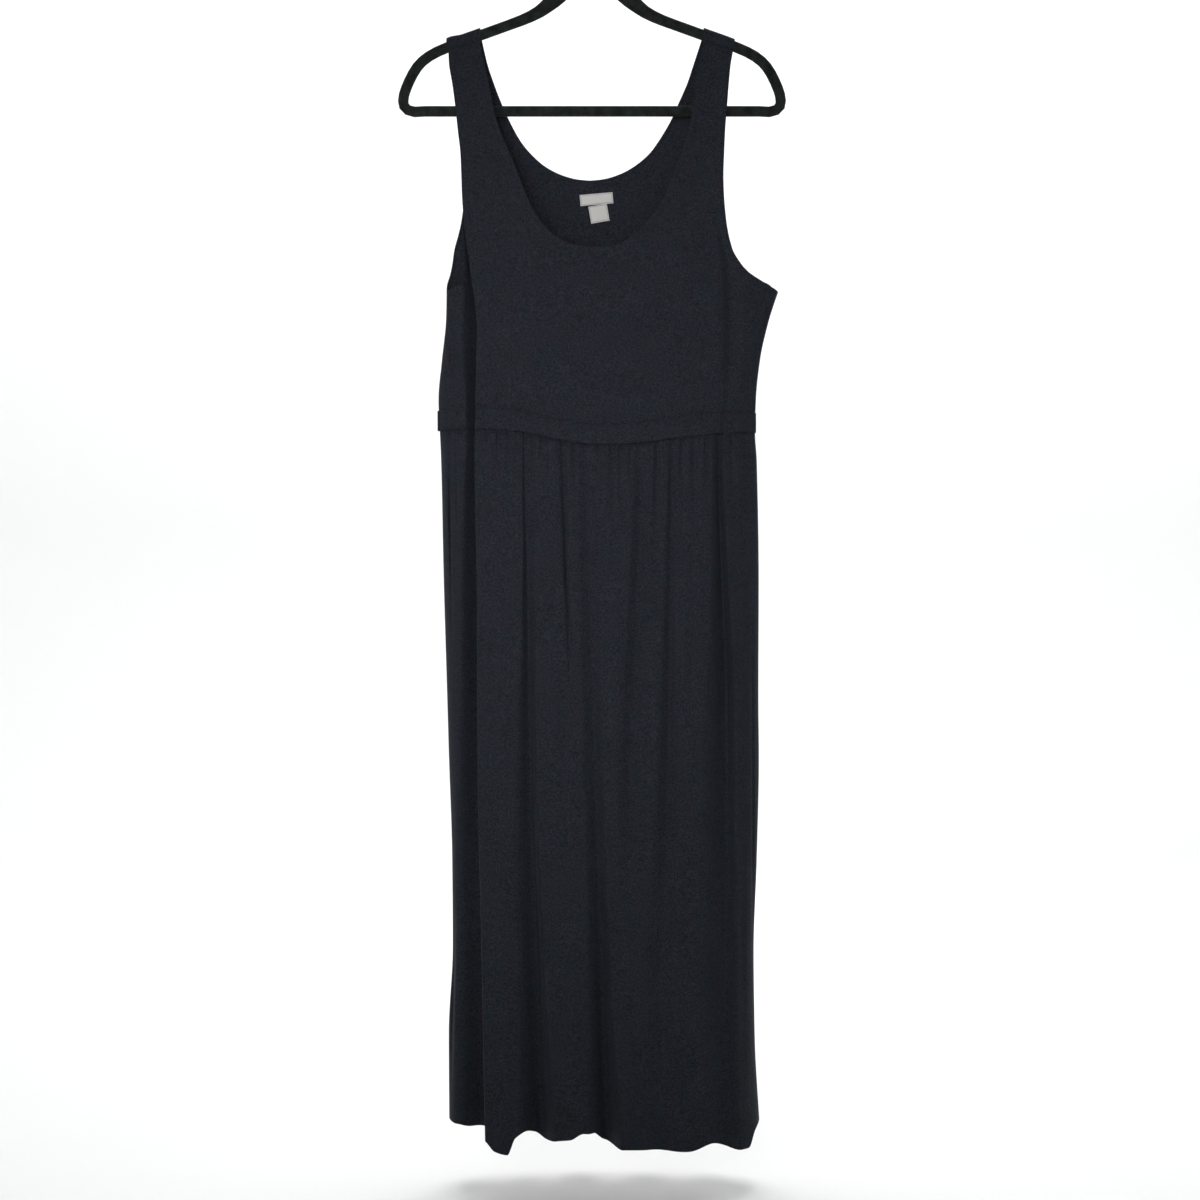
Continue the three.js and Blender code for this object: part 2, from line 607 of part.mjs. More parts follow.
// Where a half panel's columns run across a row
const shareOut = (from, to, shares) => shares.map((share) => mix(from, to, share));

function frontColumns(side, outerX, innerX, z) {
  if (side === "left") {
    return [outerX, outerX + 3, outerX + 9, ...shareOut(outerX + 9, innerX, [0.16, 0.34, 0.54, 0.77, 1])];
  }
  const fold = lookUp(BODICE_FOLD, "z", "x", z);
  const left = lookUp(BODICE_FOLD, "z", "left", z);
  const beside = shareOut(outerX, fold, [0, 0.1, 0.25, 0.5, 0.75, 1]);
  return [...beside, fold - left * 0.5, fold - left, ...shareOut(fold - left, innerX, [0.18, 0.4, 0.68, 1])];
}

function backColumns(side, outerX, innerX) {
  const inward = side === "left" ? 1 : -1;
  const edge = [0, 1.4, 4, 9].map((offset) => outerX + inward * offset);
  return [...edge, ...shareOut(edge[3], innerX, [0.16, 0.34, 0.54, 0.77, 1])];
}

const seamX = (side) => (z) => lookUp(SECTIONS, "z", side, z);

const FRONT_BODICE = {
  front: -1,
  armhole: FRONT_ARMHOLE,
  neck: FRONT_NECK,
  centreX: 8,
  sideX: { left: lipX, right: seamX("right") },
  seamed: { left: false, right: true },
  rows: FRONT_ROWS,
  strapDistances: [-SHOULDER_SEAM - halfGap],
  columns: frontColumns,
  waistLine: (x) => bandLine("top")(x) + SEAM_GAP,
  stand: (x, z) => frontStand(x, z, BODICE_FOLDS),
};
const BACK_BODICE = {
  front: 1,
  armhole: BACK_ARMHOLE,
  neck: BACK_NECK,
  centreX: -2.3,
  sideX: { left: seamX("left"), right: seamX("right") },
  seamed: { left: true, right: true },
  rows: BACK_ROWS,
  strapDistances: [
    -SHOULDER_SEAM + halfGap,
    ...[-3, -2, -1, 0, 1, 2, 3].map((third) => (STRAP_R * Math.PI * third) / 6),
  ],
  columns: backColumns,
  waistLine: (x) => bandLine("backTop")(x) + SEAM_GAP,
  stand: (x, z) => backStand(x, z, {}),
};

function frontBodice() {
  const left = halfBodice("left", FRONT_BODICE);
  const patches = [leftStrip(left, FRONT_BODICE), left, halfBodice("right", FRONT_BODICE)];
  return clothWall("front_bodice", CLOTH, patches, JERSEY_WALL, false);
}

function backBodice() {
  const patches = [halfBodice("left", BACK_BODICE), halfBodice("right", BACK_BODICE)];
  return clothWall("back_bodice", CLOTH, patches, JERSEY_WALL, true);
}

// Columns of the skirt and band: four to each gather at the top and two lower down, measured
// along the waist seam
const SIDE_COLUMNS = [0, 1.2, 4.5];

function waistColumns({ gathers, folds, withLips }, perGather) {
  const left = lookUp(SECTIONS, "z", "left", WAIST_Z);
  const right = lookUp(SECTIONS, "z", "right", WAIST_Z);
  const troughs = Object.values(folds).map((rows) => rows[1].x);
  const lips = Object.values(folds).map((rows) => rows[1].x + rows[1].right);
  const stitched = [...gathers.map((g) => g.x), ...troughs, ...(withLips ? lips : [])];
  stitched.sort((a, b) => a - b);
  const columns = SIDE_COLUMNS.map((offset) => left + offset);
  const phase = perGather === 4 ? 0.5 / perGather : 0;
  stitched.forEach((x, i) => {
    const next = i + 1 < stitched.length ? stitched[i + 1] : 2 * x - stitched[i - 1];
    for (let k = 0; k < perGather; k++) {
      const column = mix(x, next, phase + k / perGather);
      if (column > left + 7 && column < right - 7) columns.push(column);
    }
  });
  return [...columns, ...SIDE_COLUMNS.map((offset) => right - offset).reverse()];
}

// Where a column of the cloth lies across the body at a height: it follows the long folds
function alongFolds(s, z, folds) {
  const side = (column, at) => lookUp(SECTIONS, "z", column, at);
  const route = (rows, at) => lookUp(rows, "z", "x", at);
  const lines = Object.values(folds).sort((a, b) => a[1].x - b[1].x);
  const waist = [side("left", WAIST_Z), ...lines.map((r) => r[1].x), side("right", WAIST_Z)];
  const here = [side("left", z), ...lines.map((r) => route(r, z)), side("right", z)];
  let i = 0;
  while (i + 2 < waist.length && s > waist[i + 1]) i++;
  return mix(here[i], here[i + 1], (s - waist[i]) / (waist[i + 1] - waist[i]));
}

function gatherDepth(gathers, s, drop) {
  return gathers.reduce((sum, g, i) => {
    if (drop >= g.run) return sum;
    const before = gathers[i - 1]?.x ?? g.x - 12;
    const after = gathers[i + 1]?.x ?? g.x + 12;
    const left = Math.min(8, (g.x - before) / 2);
    const right = Math.min(8, (after - g.x) / 2);
    const fade = 1 - drop / g.run;
    return sum + g.depth * fade * trough(s - g.x, left * (1 + drop / g.run), right * (1 + drop / g.run));
  }, 0);
}

// One row of outer points across the skirt, at a share of the way from waist seam to hem
function skirtRow(share, columns, spec) {
  const level = mix(WAIST_Z, HEM_Z, share);
  const last = columns.length - 1;
  return columns.map((s, i) => {
    const x = alongFolds(s, level, spec.folds);
    const z = mix(spec.waistLine(x), spec.hemLine(x), share);
    const atSide = i === 0 || i === last;
    const stand = spec.stand(x, level, spec.folds);
    const gathered = pressed(stand, gatherDepth(spec.gathers, s, WAIST_Z - level), level);
    const y = spec.front * (atSide ? halfGap : gathered);
    const hold = atSide ? "y" : share === 0 ? "z" : undefined;
    return { x, y, z, s, hold };
  });
}

function skirtPanel(name, spec) {
  const fine = waistColumns(spec, 4);
  const coarse = waistColumns(spec, 2);
  const rows = [
    ...GATHER_ROWS.map((share) => skirtRow(share, fine, spec)),
    ...SKIRT_ROWS.map((share) => skirtRow(share, coarse, spec)),
  ];
  return clothWall(name, CLOTH, [rows], JERSEY_WALL, spec.front > 0);
}

const FRONT_SKIRT = {
  front: -1,
  withLips: true,
  folds: FRONT_FOLDS,
  gathers: FRONT_GATHERS,
  stand: frontStand,
  waistLine: (x) => bandLine("bottom")(x) - SEAM_GAP,
  hemLine: (x) => lookUp(HEM_LINE, "x", "front", x),
};
const BACK_SKIRT = {
  front: 1,
  withLips: false,
  folds: BACK_FOLDS,
  gathers: BACK_GATHERS,
  stand: backStand,
  waistLine: (x) => bandLine("backBottom")(x) - SEAM_GAP,
  hemLine: (x) => lookUp(HEM_LINE, "x", "back", x),
};

// The elastic casing between bodice and skirt, rounded a little across its height
const BAND_BULGE = [
  { share: 0, proud: 0.1 },
  { share: 0.25, proud: 0.8 },
  { share: 0.5, proud: 1 },
  { share: 0.75, proud: 0.8 },
  { share: 1, proud: 0.1 },
];
const BAND_STEP = 10;

function bandPanel(name, front, stand, topLine, bottomLine) {
  const left = lookUp(SECTIONS, "z", "left", WAIST_Z);
  const right = lookUp(SECTIONS, "z", "right", WAIST_Z);
  const middle = Math.round((right - left - 18) / BAND_STEP);
  const columns = [left - 1.8, left - 0.6, left + 3];
  for (let i = 0; i <= middle; i++) columns.push(mix(left + 9, right - 9, i / middle));
  columns.push(right - 3, right + 0.6, right + 1.8);
  const last = columns.length - 1;
  const rows = BAND_BULGE.map(({ share, proud }) =>
    columns.map((x, i) => {
      const atSide = i === 0 || i === last;
      const z = mix(topLine(x), bottomLine(x), share);
      const inside = THREE.MathUtils.clamp(x, left + 0.8, right - 0.8);
      const y = atSide ? halfGap : Math.max(stand(inside, z) + BAND_PROUD * proud, halfGap);
      const edge = share === 0 || share === 1;
      return { x, y: front * y, z, s: i, hold: atSide ? "y" : edge ? "z" : undefined };
    }),
  );
  return clothWall(name, BAND, [rows], BAND_WALL, front > 0);
}

// Labels sewn inside the back of the neck, on the cloth's inner face
const LABELS = {
  neck_label: { x: 5.2, z: -322.8, width: 38, height: 12.6, tilt: 3.2 },
  size_tab: { x: 6.2, z: -340.2, width: 22.5, height: 20.4, tilt: 4.5 },
};

function labelPiece(name) {
  const { x: cx, z: cz, width, height, tilt } = LABELS[name];
  const angle = THREE.MathUtils.degToRad(tilt);
  const steps = 4;
  const rows = [0.5, 0, -0.5].map((v) =>
    Array.from({ length: steps + 1 }, (_, i) => {
      const u = (i / steps - 0.5) * width;
      const w = v * height;
      const x = cx + u * Math.cos(angle) - w * Math.sin(angle);
      const z = cz + u * Math.sin(angle) + w * Math.cos(angle);
      return { x, y: backStand(x, z, {}) - JERSEY_WALL - SEAM_GAP - LABEL_WALL, z, s: i };
    }),
  );
  return clothWall(name, LABEL, [rows], LABEL_WALL, false);
}

// Closed solid of a mesh as manifold-3d holds it, and back
function toSolid(wasm, geometry) {
  const bare = geometry.index ? geometry.toNonIndexed() : geometry.clone();
  bare.deleteAttribute("normal");
  bare.deleteAttribute("uv");
  const merged = mergeVertices(bare, 1e-3);
  return new wasm.Manifold(
    new wasm.Mesh({
      numProp: 3,
      vertProperties: merged.attributes.position.array,
      triVerts: new Uint32Array(merged.index.array),
    }),
  );
}

function fromSolid(solid) {
  const { vertProperties, triVerts, numProp, numVert } = solid.getMesh();
  const positions = [];
  for (let i = 0; i < numVert; i++) positions.push(...vertProperties.subarray(i * numProp, i * numProp + 3));
  return { positions, triangles: [...triVerts] };
}

// The hanger's body: two arms that meet in a neck, and the bar, in one flat moulding with
// rounded edges and a hole in the neck for the hook's stem
async function hangerBody() {
  const steps = 25;
  const knots = ARM.map((p) => new THREE.Vector3(p.x, p.z, p.half));
  const curve = new THREE.CatmullRomCurve3(knots, false, "centripetal");
  const line = curve.getPoints(steps);
  const offset = (sign) =>
    line.map((p, i) => {
      const before = line[Math.max(0, i - 1)];
      const after = line[Math.min(steps, i + 1)];
      const along = new THREE.Vector2(after.x - before.x, after.y - before.y).normalize();
      return new THREE.Vector2(p.x - along.y * p.z * sign, p.y + along.x * p.z * sign);
    });
  const mirrored = (points) => points.map((p) => new THREE.Vector2(-p.x, p.y)).reverse();
  const neck = [
    new THREE.Vector2(NECK_HALF - 2, NECK_TOP_Z),
    new THREE.Vector2(NECK_HALF, NECK_TOP_Z - 2),
    new THREE.Vector2(NECK_HALF, NECK_TOP_Z - 6),
    new THREE.Vector2(NECK_HALF + 3, NECK_TOP_Z - 10),
    new THREE.Vector2(NECK_HALF + 10, NECK_TOP_Z - 12.4),
  ];
  const outer = [...neck, ...offset(1)];
  const inner = [new THREE.Vector2(5, ARCH_Z - 0.6), ...offset(-1)];
  const shape = new THREE.Shape([...outer, ...mirrored(outer)].reverse());
  shape.holes.push(new THREE.Path([new THREE.Vector2(0, ARCH_Z), ...inner, ...mirrored(inner)]));
  const bevel = 2.4;
  const body = new THREE.ExtrudeGeometry(shape, {
    depth: HANGER_THICK - 2 * bevel,
    bevelThickness: bevel,
    bevelSize: bevel,
    bevelOffset: -bevel,
    bevelSegments: 2,
  });
  body.translate(0, 0, -(HANGER_THICK - 2 * bevel) / 2);
  body.rotateX(Math.PI / 2);
  const bore = new THREE.CylinderGeometry(WIRE_R + SEAM_GAP, WIRE_R + SEAM_GAP, STEM_DEPTH, 12);
  bore.rotateX(Math.PI / 2);
  bore.translate(0, 0, NECK_TOP_Z - STEM_DEPTH / 2 + 1);
  const wasm = await Module();
  wasm.setup();
  const cut = toSolid(wasm, body).subtract(toSolid(wasm, bore));
  const { positions, triangles } = fromSolid(cut);
  return meshOf("hanger_body", FLOCK, positions, triangles);
}

// The wire hook: a stem that stands in the neck, and most of a circle that hangs on the rail
function hangerHook() {
  const radius = HOOK_INNER_R + WIRE_R;
  const centreZ = -HOOK_INNER_R;
  const stem = [-(STEM_DEPTH - 2.5), -STEM_DEPTH / 2, 2].map((z) => new THREE.Vector3(0, 0, NECK_TOP_Z + z));
  const bend = [
    new THREE.Vector3(1.6, 0, centreZ - radius - 8),
    new THREE.Vector3(8, 0, centreZ - radius + 0.6),
  ];
  const from = THREE.MathUtils.degToRad(-48);
  const to = THREE.MathUtils.degToRad(202);
  const arcSteps = 12;
  const arc = Array.from({ length: arcSteps + 1 }, (_, i) => {
    const angle = mix(from, to, i / arcSteps);
    return new THREE.Vector3(radius * Math.cos(angle), 0, centreZ + radius * Math.sin(angle));
  });
  const path = new THREE.CatmullRomCurve3([...stem, ...bend, ...arc], false, "centripetal");
  const sides = 10;
  const section = new THREE.Shape(
    Array.from({ length: sides }, (_, i) => {
      const angle = (2 * Math.PI * i) / sides;
      return new THREE.Vector2(WIRE_R * Math.cos(angle), WIRE_R * Math.sin(angle));
    }),
  );
  const geometry = new THREE.ExtrudeGeometry(section, { extrudePath: path, steps: 40 });
  const mesh = new THREE.Mesh(geometry, new THREE.MeshStandardMaterial(STEEL));
  mesh.name = "hanger_hook";
  return mesh;
}

const frontBand = (x, z) => frontStand(x, z, BODICE_FOLDS);
const backBand = (x, z) => backStand(x, z, {});

const dress = new THREE.Group();
dress.name = "maxi_dress_on_hanger";
dress.add(
  frontBodice(),
  backBodice(),
  bandPanel("front_waistband", -1, frontBand, bandLine("top"), bandLine("bottom")),
  bandPanel("back_waistband", 1, backBand, bandLine("backTop"), bandLine("backBottom")),
  skirtPanel("front_skirt", FRONT_SKIRT),
  skirtPanel("back_skirt", BACK_SKIRT),
  labelPiece("neck_label"),
  labelPiece("size_tab"),
  await hangerBody(),
  hangerHook(),
);

export default dress;
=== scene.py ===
"""A sleeveless jersey maxi dress hanging from a slim flocked hanger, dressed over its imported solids."""

import math
import random
from types import SimpleNamespace

import bpy
import numpy as np
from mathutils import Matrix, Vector


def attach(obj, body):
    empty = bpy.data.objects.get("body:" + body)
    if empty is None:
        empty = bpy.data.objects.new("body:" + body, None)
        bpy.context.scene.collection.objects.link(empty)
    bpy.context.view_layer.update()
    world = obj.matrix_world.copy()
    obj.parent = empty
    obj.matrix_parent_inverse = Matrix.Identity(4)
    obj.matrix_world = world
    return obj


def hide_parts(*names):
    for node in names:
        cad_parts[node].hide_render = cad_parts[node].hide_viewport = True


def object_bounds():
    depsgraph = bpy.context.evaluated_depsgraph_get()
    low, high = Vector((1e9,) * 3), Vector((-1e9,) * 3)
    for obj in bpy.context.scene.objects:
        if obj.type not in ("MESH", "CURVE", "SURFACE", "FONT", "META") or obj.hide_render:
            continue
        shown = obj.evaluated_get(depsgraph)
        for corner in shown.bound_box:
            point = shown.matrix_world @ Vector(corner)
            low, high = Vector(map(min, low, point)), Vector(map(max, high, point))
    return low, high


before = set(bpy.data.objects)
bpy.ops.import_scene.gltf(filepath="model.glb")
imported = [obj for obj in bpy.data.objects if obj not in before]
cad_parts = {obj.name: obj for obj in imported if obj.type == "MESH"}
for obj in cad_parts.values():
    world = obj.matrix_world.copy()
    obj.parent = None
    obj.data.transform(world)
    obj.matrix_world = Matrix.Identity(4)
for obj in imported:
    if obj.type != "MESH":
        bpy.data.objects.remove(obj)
cad_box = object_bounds()

# The tables and shapes below are in millimetres, in the frame of the solids, and MM makes metres
# of them. Left and right are the viewer's, seen from the front.
MM = 0.001

# Cloth and seams
JERSEY_WALL = 1.4
BAND_WALL = 1.8
BAND_PROUD = 1.5
LABEL_WALL = 0.5
SEAM_GAP = 0.1

# The hanger's arm, under the strap: half its height, and how it slopes
ARM_HALF = 6
SHOULDER_SLOPE = -0.363

# Heights that the panels are cut between
UNDERARM_Z = -432.4
WAIST_Z = -592
HEM_Z = -1388

# How the shoulder straps lie over the hanger's arms
STRAP_R = 4.9
CROWN_RISE = 2.2
SHOULDER_SEAM = 18
OVER_HANGER_Z = -238

# How squarely the panels turn in to the side seams, and the least that a pressed fold stands off
# the hanger's plane
TURN_LEFT = 6
TURN_BACK = 3.2
TURN_EASE = 0.6
LEAST_STAND = 2.5

# How finely lines are followed
FINE_STEPS = 4000
CURVE_STEPS = 24
EDGE_STEPS = 160

# How squarely a soft crease runs out at its ends
CREASE_ENDS = 0.7


def mix(a, b, t):
    return a + (b - a) * t


def ease(t):
    """Rises softly from 0 to 1."""
    t = np.clip(t, 0, 1)
    return t * t * (3 - 2 * t)


def trough(offset, left, right):
    """1 in a trough's middle, falling softly to 0 at its edge."""
    t = np.abs(offset) / np.where(offset < 0, left, right)
    return 0.5 + 0.5 * np.cos(np.pi * np.minimum(t, 1))


class Table:
    """Rows of sizes under named columns, read smoothly between the rows by their first column."""

    def __init__(self, columns, *rows):
        self.columns = columns.split()
        self.rows = np.array(sorted(rows), float)

    def at(self, column, value):
        """The column's smooth value, which never overshoots its rows."""
        values = self.rows[:, self.columns.index(column)]
        keys = self.rows[~np.isnan(values), 0]
        values = values[~np.isnan(values)]
        rise = np.diff(values) / np.diff(keys)
        product = rise[:-1] * rise[1:]
        total = np.where(product > 0, rise[:-1] + rise[1:], 1)
        slopes = np.concatenate([rise[:1], np.where(product > 0, 2 * product / total, 0), rise[-1:]])
        value = np.clip(value, keys[0], keys[-1])
        i = np.clip(np.searchsorted(keys, value, side="right") - 1, 0, len(keys) - 2)
        span = keys[i + 1] - keys[i]
        t = (value - keys[i]) / span
        start = values[i] * (1 + 2 * t) + slopes[i] * span * t
        end = values[i + 1] * (3 - 2 * t) - slopes[i + 1] * span * (1 - t)
        return start * (1 - t) ** 2 + end * t**2


# The body's side outlines, and how far its front and back stand off the hanger's plane. The turn
# column says how squarely the front turns in to its right side seam.
SECTIONS = Table(
    "z left right front back turn",
    (-120, -250, 250, 6.0, 6.0, 3.4),
    (-160, -245, 248, 6.4, 6.2, 3.4),
    (-232, -225, 242, 12.0, 10.0, 3.4),
    (-306, -202, 234, 18.0, 13.0, 3.4),
    (-386, -178, 223, 23.5, 16.0, 3.4),
    (UNDERARM_Z, -166.8, 213.4, 25.5, 18.0, 3.4),
    (-445, -166.9, 209.2, 26.0, 18.5, 3.4),
    (-465, -167.4, 202.9, 26.5, 19.5, 3.4),
    (-510, -172.0, 192.8, 27.5, 21.0, 3.4),
    (-556, -176.0, 188.0, 28.5, 23.0, 3.4),
    (-592, -174.5, 187.0, 30.0, 25.0, 3.4),
    (-625, -173.0, 189.0, 37.0, 31.0, 3.4),
    (-763, -170.0, 191.2, 40.0, 33.0, 3.8),
    (-900, -166.0, 190.8, 42.0, 34.0, 4.4),
    (-970, -164.0, 191.4, 42.5, 34.5, 4.8),
    (-1084, -160.4, 189.0, 43.5, 35.0, 5.4),
    (-1190, -159.6, 185.4, 44.5, 36.0, 6.0),
    (-1290, -164.2, 186.6, 46.0, 37.0, 6.6),
    (-1400, -163.6, 192.4, 48.0, 38.0, 7.0),
)

FRONT_NECK = Table(
    "z left right",
    (-191, -118.8, 119.2),
    (-245, -106.8, 111.6),
    (-271, -96.3, 103.9),
    (-301, -84.0, 92.2),
    (-331, -72.6, 80.4),
    (-352, -61.0, 66.8),
    (-369, -47.5, 51.8),
    (-380, -32.0, 37.5),
    (-385, -13.0, 25.0),
    (-386.3, 8.0, 8.0),
)
BACK_NECK = Table(
    "z left right",
    (-170, -119.9, 116.6),
    (-191, -112.9, 109.5),
    (-212, -104.8, 100.2),
    (-232, -95.8, 91.2),
    (-257, -81.8, 76.2),
    (-271, -70.2, 65.5),
    (-284, -55.6, 50.0),
    (-293.4, -38.6, 33.2),
    (-299.2, -20.0, 14.8),
    (-301.2, -2.3, -2.3),
)

# The armholes' edges. On the viewer's left the front edge ends where the front panel folds
# back, and the underarm lies beside it, behind the fold.
FRONT_ARMHOLE = Table(
    "z left right",
    (-175, -163.2, 158.4),
    (-197, -159.4, 156.2),
    (-223, -155.8, 154.0),
    (-249, -152.9, 151.8),
    (-277, -149.6, 150.4),
    (-304, -148.3, 149.4),
    (-331, -147.2, 150.2),
    (-359, -144.9, 152.8),
    (-378, -142.5, 156.4),
    (-390, -140.9, 160.2),
    (-401, -139.3, 166.6),
    (-412, -137.4, 175.8),
    (-424, -135.6, 195.4),
    (UNDERARM_Z, math.nan, 213.4),
)
BACK_ARMHOLE = Table(
    "z left right",
    (-175, -161.4, 156.2),
    (-223, -155.6, 153.4),
    (-277, -149.8, 149.6),
    (-328, -148.4, 149.4),
    (-355, -151.9, 151.8),
    (-383, -158.8, 157.0),
    (-397, -160.6, 163.2),
    (-411, -163.0, 173.6),
    (-424, -166.4, 192.0),
    (UNDERARM_Z, -166.8, 213.4),
)

# Outer and inner edges of the straps where they cross the hanger, and how much narrower the
# front's strap is at its outer edge
STRAP_EDGES = {"left": (-166.6, -128.2), "right": (163.4, 128.2)}
FRONT_STRAP_IN = 2.4

# Centreline of the hanger's arm, where the strap lies on it, by its distance from the middle
SHOULDER = Table(
    "x z",
    (91.8, -125.2),
    (129.6, -138.9),
    (164, -151.4),
    (180.7, -158.8),
)

# How the left strap has bunched up at its outer end: how high, from where and over what width
BUNCH_RISE = 2.4
BUNCH_FROM = -148
BUNCH_WIDTH = 16

# The waist seams dip at the middle, where the weight of the skirt pulls the bodice down.
BAND_LINES = Table(
    "x top bottom back_top back_bottom",
    (-200, -569.4, -592.0, -569.4, -592.0),
    (-137, -569.4, -592.2, -569.8, -592.4),
    (-100, -570.8, -593.8, -571.6, -594.4),
    (-64, -576.2, -598.8, -574.0, -596.6),
    (-36, -583.0, -605.4, -575.8, -598.2),
    (0, -588.2, -610.4, -577.0, -599.4),
    (22, -588.4, -610.8, -577.2, -599.6),
    (56, -586.0, -608.6, -576.4, -598.8),
    (100, -579.4, -602.4, -574.4, -597.2),
    (134, -575.2, -598.2, -572.8, -595.6),
    (168, -572.4, -595.0, -571.8, -594.4),
    (200, -571.6, -594.0, -571.6, -594.0),
)

HEM_LINE = Table(
    "x front back",
    (-170, -1378, -1378),
    (-152, -1378, -1380),
    (-140, -1382, -1382),
    (-128, -1384, -1384),
    (-118, -1391, -1386),
    (-108, -1401, -1388),
    (-94, -1404, -1389),
    (-85, -1385, -1388),
    (-74, -1379, -1386),
    (-64, -1384, -1385),
    (-52, -1393, -1383),
    (-38, -1388, -1384),
    (-24, -1387, -1386),
    (-9, -1380, -1389),
    (2, -1381, -1389),
    (14, -1394, -1389),
    (24, -1398, -1388),
    (65, -1398, -1384),
    (106, -1400, -1386),
    (134, -1394, -1388),
    (158, -1401, -1387),
    (177, -1402, -1384),
    (185, -1386, -1381),
    (192, -1379, -1379),
)

# Long folds: where the trough lies at each height, how deep it is pressed, and how far it
# spreads to the viewer's left and right.
FOLD = "z x depth left right"
LEFT_CREASE = Table(
    FOLD,
    (-400, -142.0, 0, 22, 4),
    (-424, -138.8, 11, 9, 3.2),
    (-440, -136.0, 16, 11, 3.0),
    (-480, -132.6, 18, 16, 3.0),
    (-520, -133.2, 17, 14, 3.0),
    (-570, -134.2, 14, 9, 3.0),
    (-610, -134.6, 14, 9, 3.0),
    (-700, -133.2, 18, 14, 3.0),
    (-786, -131.6, 21, 18, 3.0),
    (-997, -130.8, 23, 23, 3.4),
    (-1181, -127.6, 24, 29, 4.8),
    (-1400, -123.8, 30, 34, 5.6),
)
SECOND_CREASE = Table(
    FOLD,
    (-560, -77.0, 0, 4, 9),
    (-605, -76.0, 3, 3, 12),
    (-700, -74.0, 5.5, 4, 14),
    (-786, -71.8, 7.5, 7, 12),
    (-900, -69.6, 9, 13, 8),
    (-997, -67.6, 11, 19, 7),
    (-1181, -62.0, 15, 24, 10),
    (-1400, -55.5, 24, 26, 18),
)
MIDDLE_CREASE = Table(
    FOLD,
    (-580, -8.0, 0, 11, 10),
    (-605, -6.0, 3, 12, 11),
    (-786, -1.0, 5, 14, 12),
    (-997, 5.0, 7, 14, 10),
    (-1181, 11.0, 13, 17, 11),
    (-1400, 18.5, 25, 24, 17),
)
SOFT_TROUGH = Table(
    FOLD,
    (-585, 55.0, 0, 10, 10),
    (-610, 55.0, 3, 10, 10),
    (-786, 51.0, 6, 13, 13),
    (-997, 43.0, 5, 15, 15),
    (-1130, 42.0, 0, 15, 15),
)
RIGHT_CREASE = Table(
    FOLD,
    (-580, 90.0, 0, 7, 6),
    (-605, 89.5, 3, 5, 6),
    (-786, 88.0, 5, 9, 8),
    (-997, 85.0, 7, 15, 12),
    (-1181, 79.0, 6, 22, 20),
    (-1400, 76.0, 3, 24, 24),
)
RIGHT_TROUGH = Table(
    FOLD,
    (-575, 144.0, 0, 6, 7),
    (-605, 143.0, 7, 7, 5),
    (-740, 147.0, 13, 14, 7),
    (-876, 151.5, 16, 24, 10),
    (-1068, 151.0, 14, 34, 14),
    (-1237, 149.0, 13, 36, 16),
    (-1400, 150.0, 12, 36, 18),
)
BODICE_FOLD = Table(
    FOLD,
    (-140, 152.0, 0, 8, 12),
    (-300, 137.0, 0, 8, 12),
    (-350, 141.0, 0, 8, 12),
    (-390, 151.0, 3, 8, 14),
    (-432, 155.5, 7, 9, 20),
    (-482, 157.0, 8, 9, 20),
    (-530, 155.0, 4, 9, 18),
    (-600, 150.0, 3, 8, 16),
)
BACK_FOLDS = [
    Table(
        FOLD,
        (-590, -118.0, 0, 8, 10),
        (-640, -117.0, 8, 9, 12),
        (-900, -112.0, 12, 12, 18),
        (-1400, -104.0, 18, 20, 24),
    ),
    Table(
        FOLD,
        (-590, -42.0, 0, 8, 8),
        (-650, -42.0, 6, 9, 10),
        (-950, -48.0, 11, 16, 14),
        (-1400, -52.0, 20, 24, 20),
    ),
    Table(
        FOLD,
        (-590, 36.0, 0, 8, 8),
        (-660, 37.0, 7, 10, 8),
        (-950, 30.0, 10, 18, 12),
        (-1400, 22.0, 22, 22, 24),
    ),
    Table(
        FOLD,
        (-590, 112.0, 0, 8, 7),
        (-640, 112.0, 9, 10, 9),
        (-900, 108.0, 13, 16, 12),
        (-1400, 100.0, 17, 24, 18),
    ),
]
FRONT_FOLDS = [LEFT_CREASE, SECOND_CREASE, MIDDLE_CREASE, SOFT_TROUGH, RIGHT_CREASE, RIGHT_TROUGH]
BODICE_FOLDS = [LEFT_CREASE, BODICE_FOLD]

# Gathers along the top of the skirt: x where each is stitched into the band, its depth there and
# how far down it runs out
FRONT_GATHERS = [
    (-162, 2.6, 170),
    (-149, 2.2, 60),
    (-121, 1.8, 40),
    (-108, 3.2, 95),
    (-94, 3.0, 70),
    (-66, 3.0, 60),
    (-57, 2.4, 45),
    (-48, 3.0, 65),
    (-32.6, 4.2, 290),
    (-19, 3.2, 85),
    (9, 2.8, 55),
    (23, 3.4, 120),
    (35, 3.0, 95),
    (45, 2.2, 45),
    (73.4, 4.2, 190),
    (102, 2.8, 65),
    (115, 3.6, 115),
    (129.6, 2.6, 75),
    (158, 3.6, 140),
    (172, 2.4, 60),
]
BACK_GATHERS = [
    (-160, 2.8, 90),
    (-147, 3.2, 60),
    (-133, 2.6, 130),
    (-104, 3.4, 75),
    (-92, 2.6, 50),
    (-80, 3.6, 180),
    (-67, 2.8, 60),
    (-55, 3.0, 90),
    (-29, 3.2, 70),
    (-16, 2.6, 55),
    (-3, 3.8, 220),
    (10, 2.8, 60),
    (23, 3.2, 85),
    (49, 3.0, 60),
    (61, 2.6, 100),
    (74, 3.6, 160),
    (87, 2.8, 55),
    (99, 3.0, 80),
    (125, 3.4, 70),
    (138, 2.6, 120),
    (151, 3.2, 60),
    (165, 2.8, 85),
]

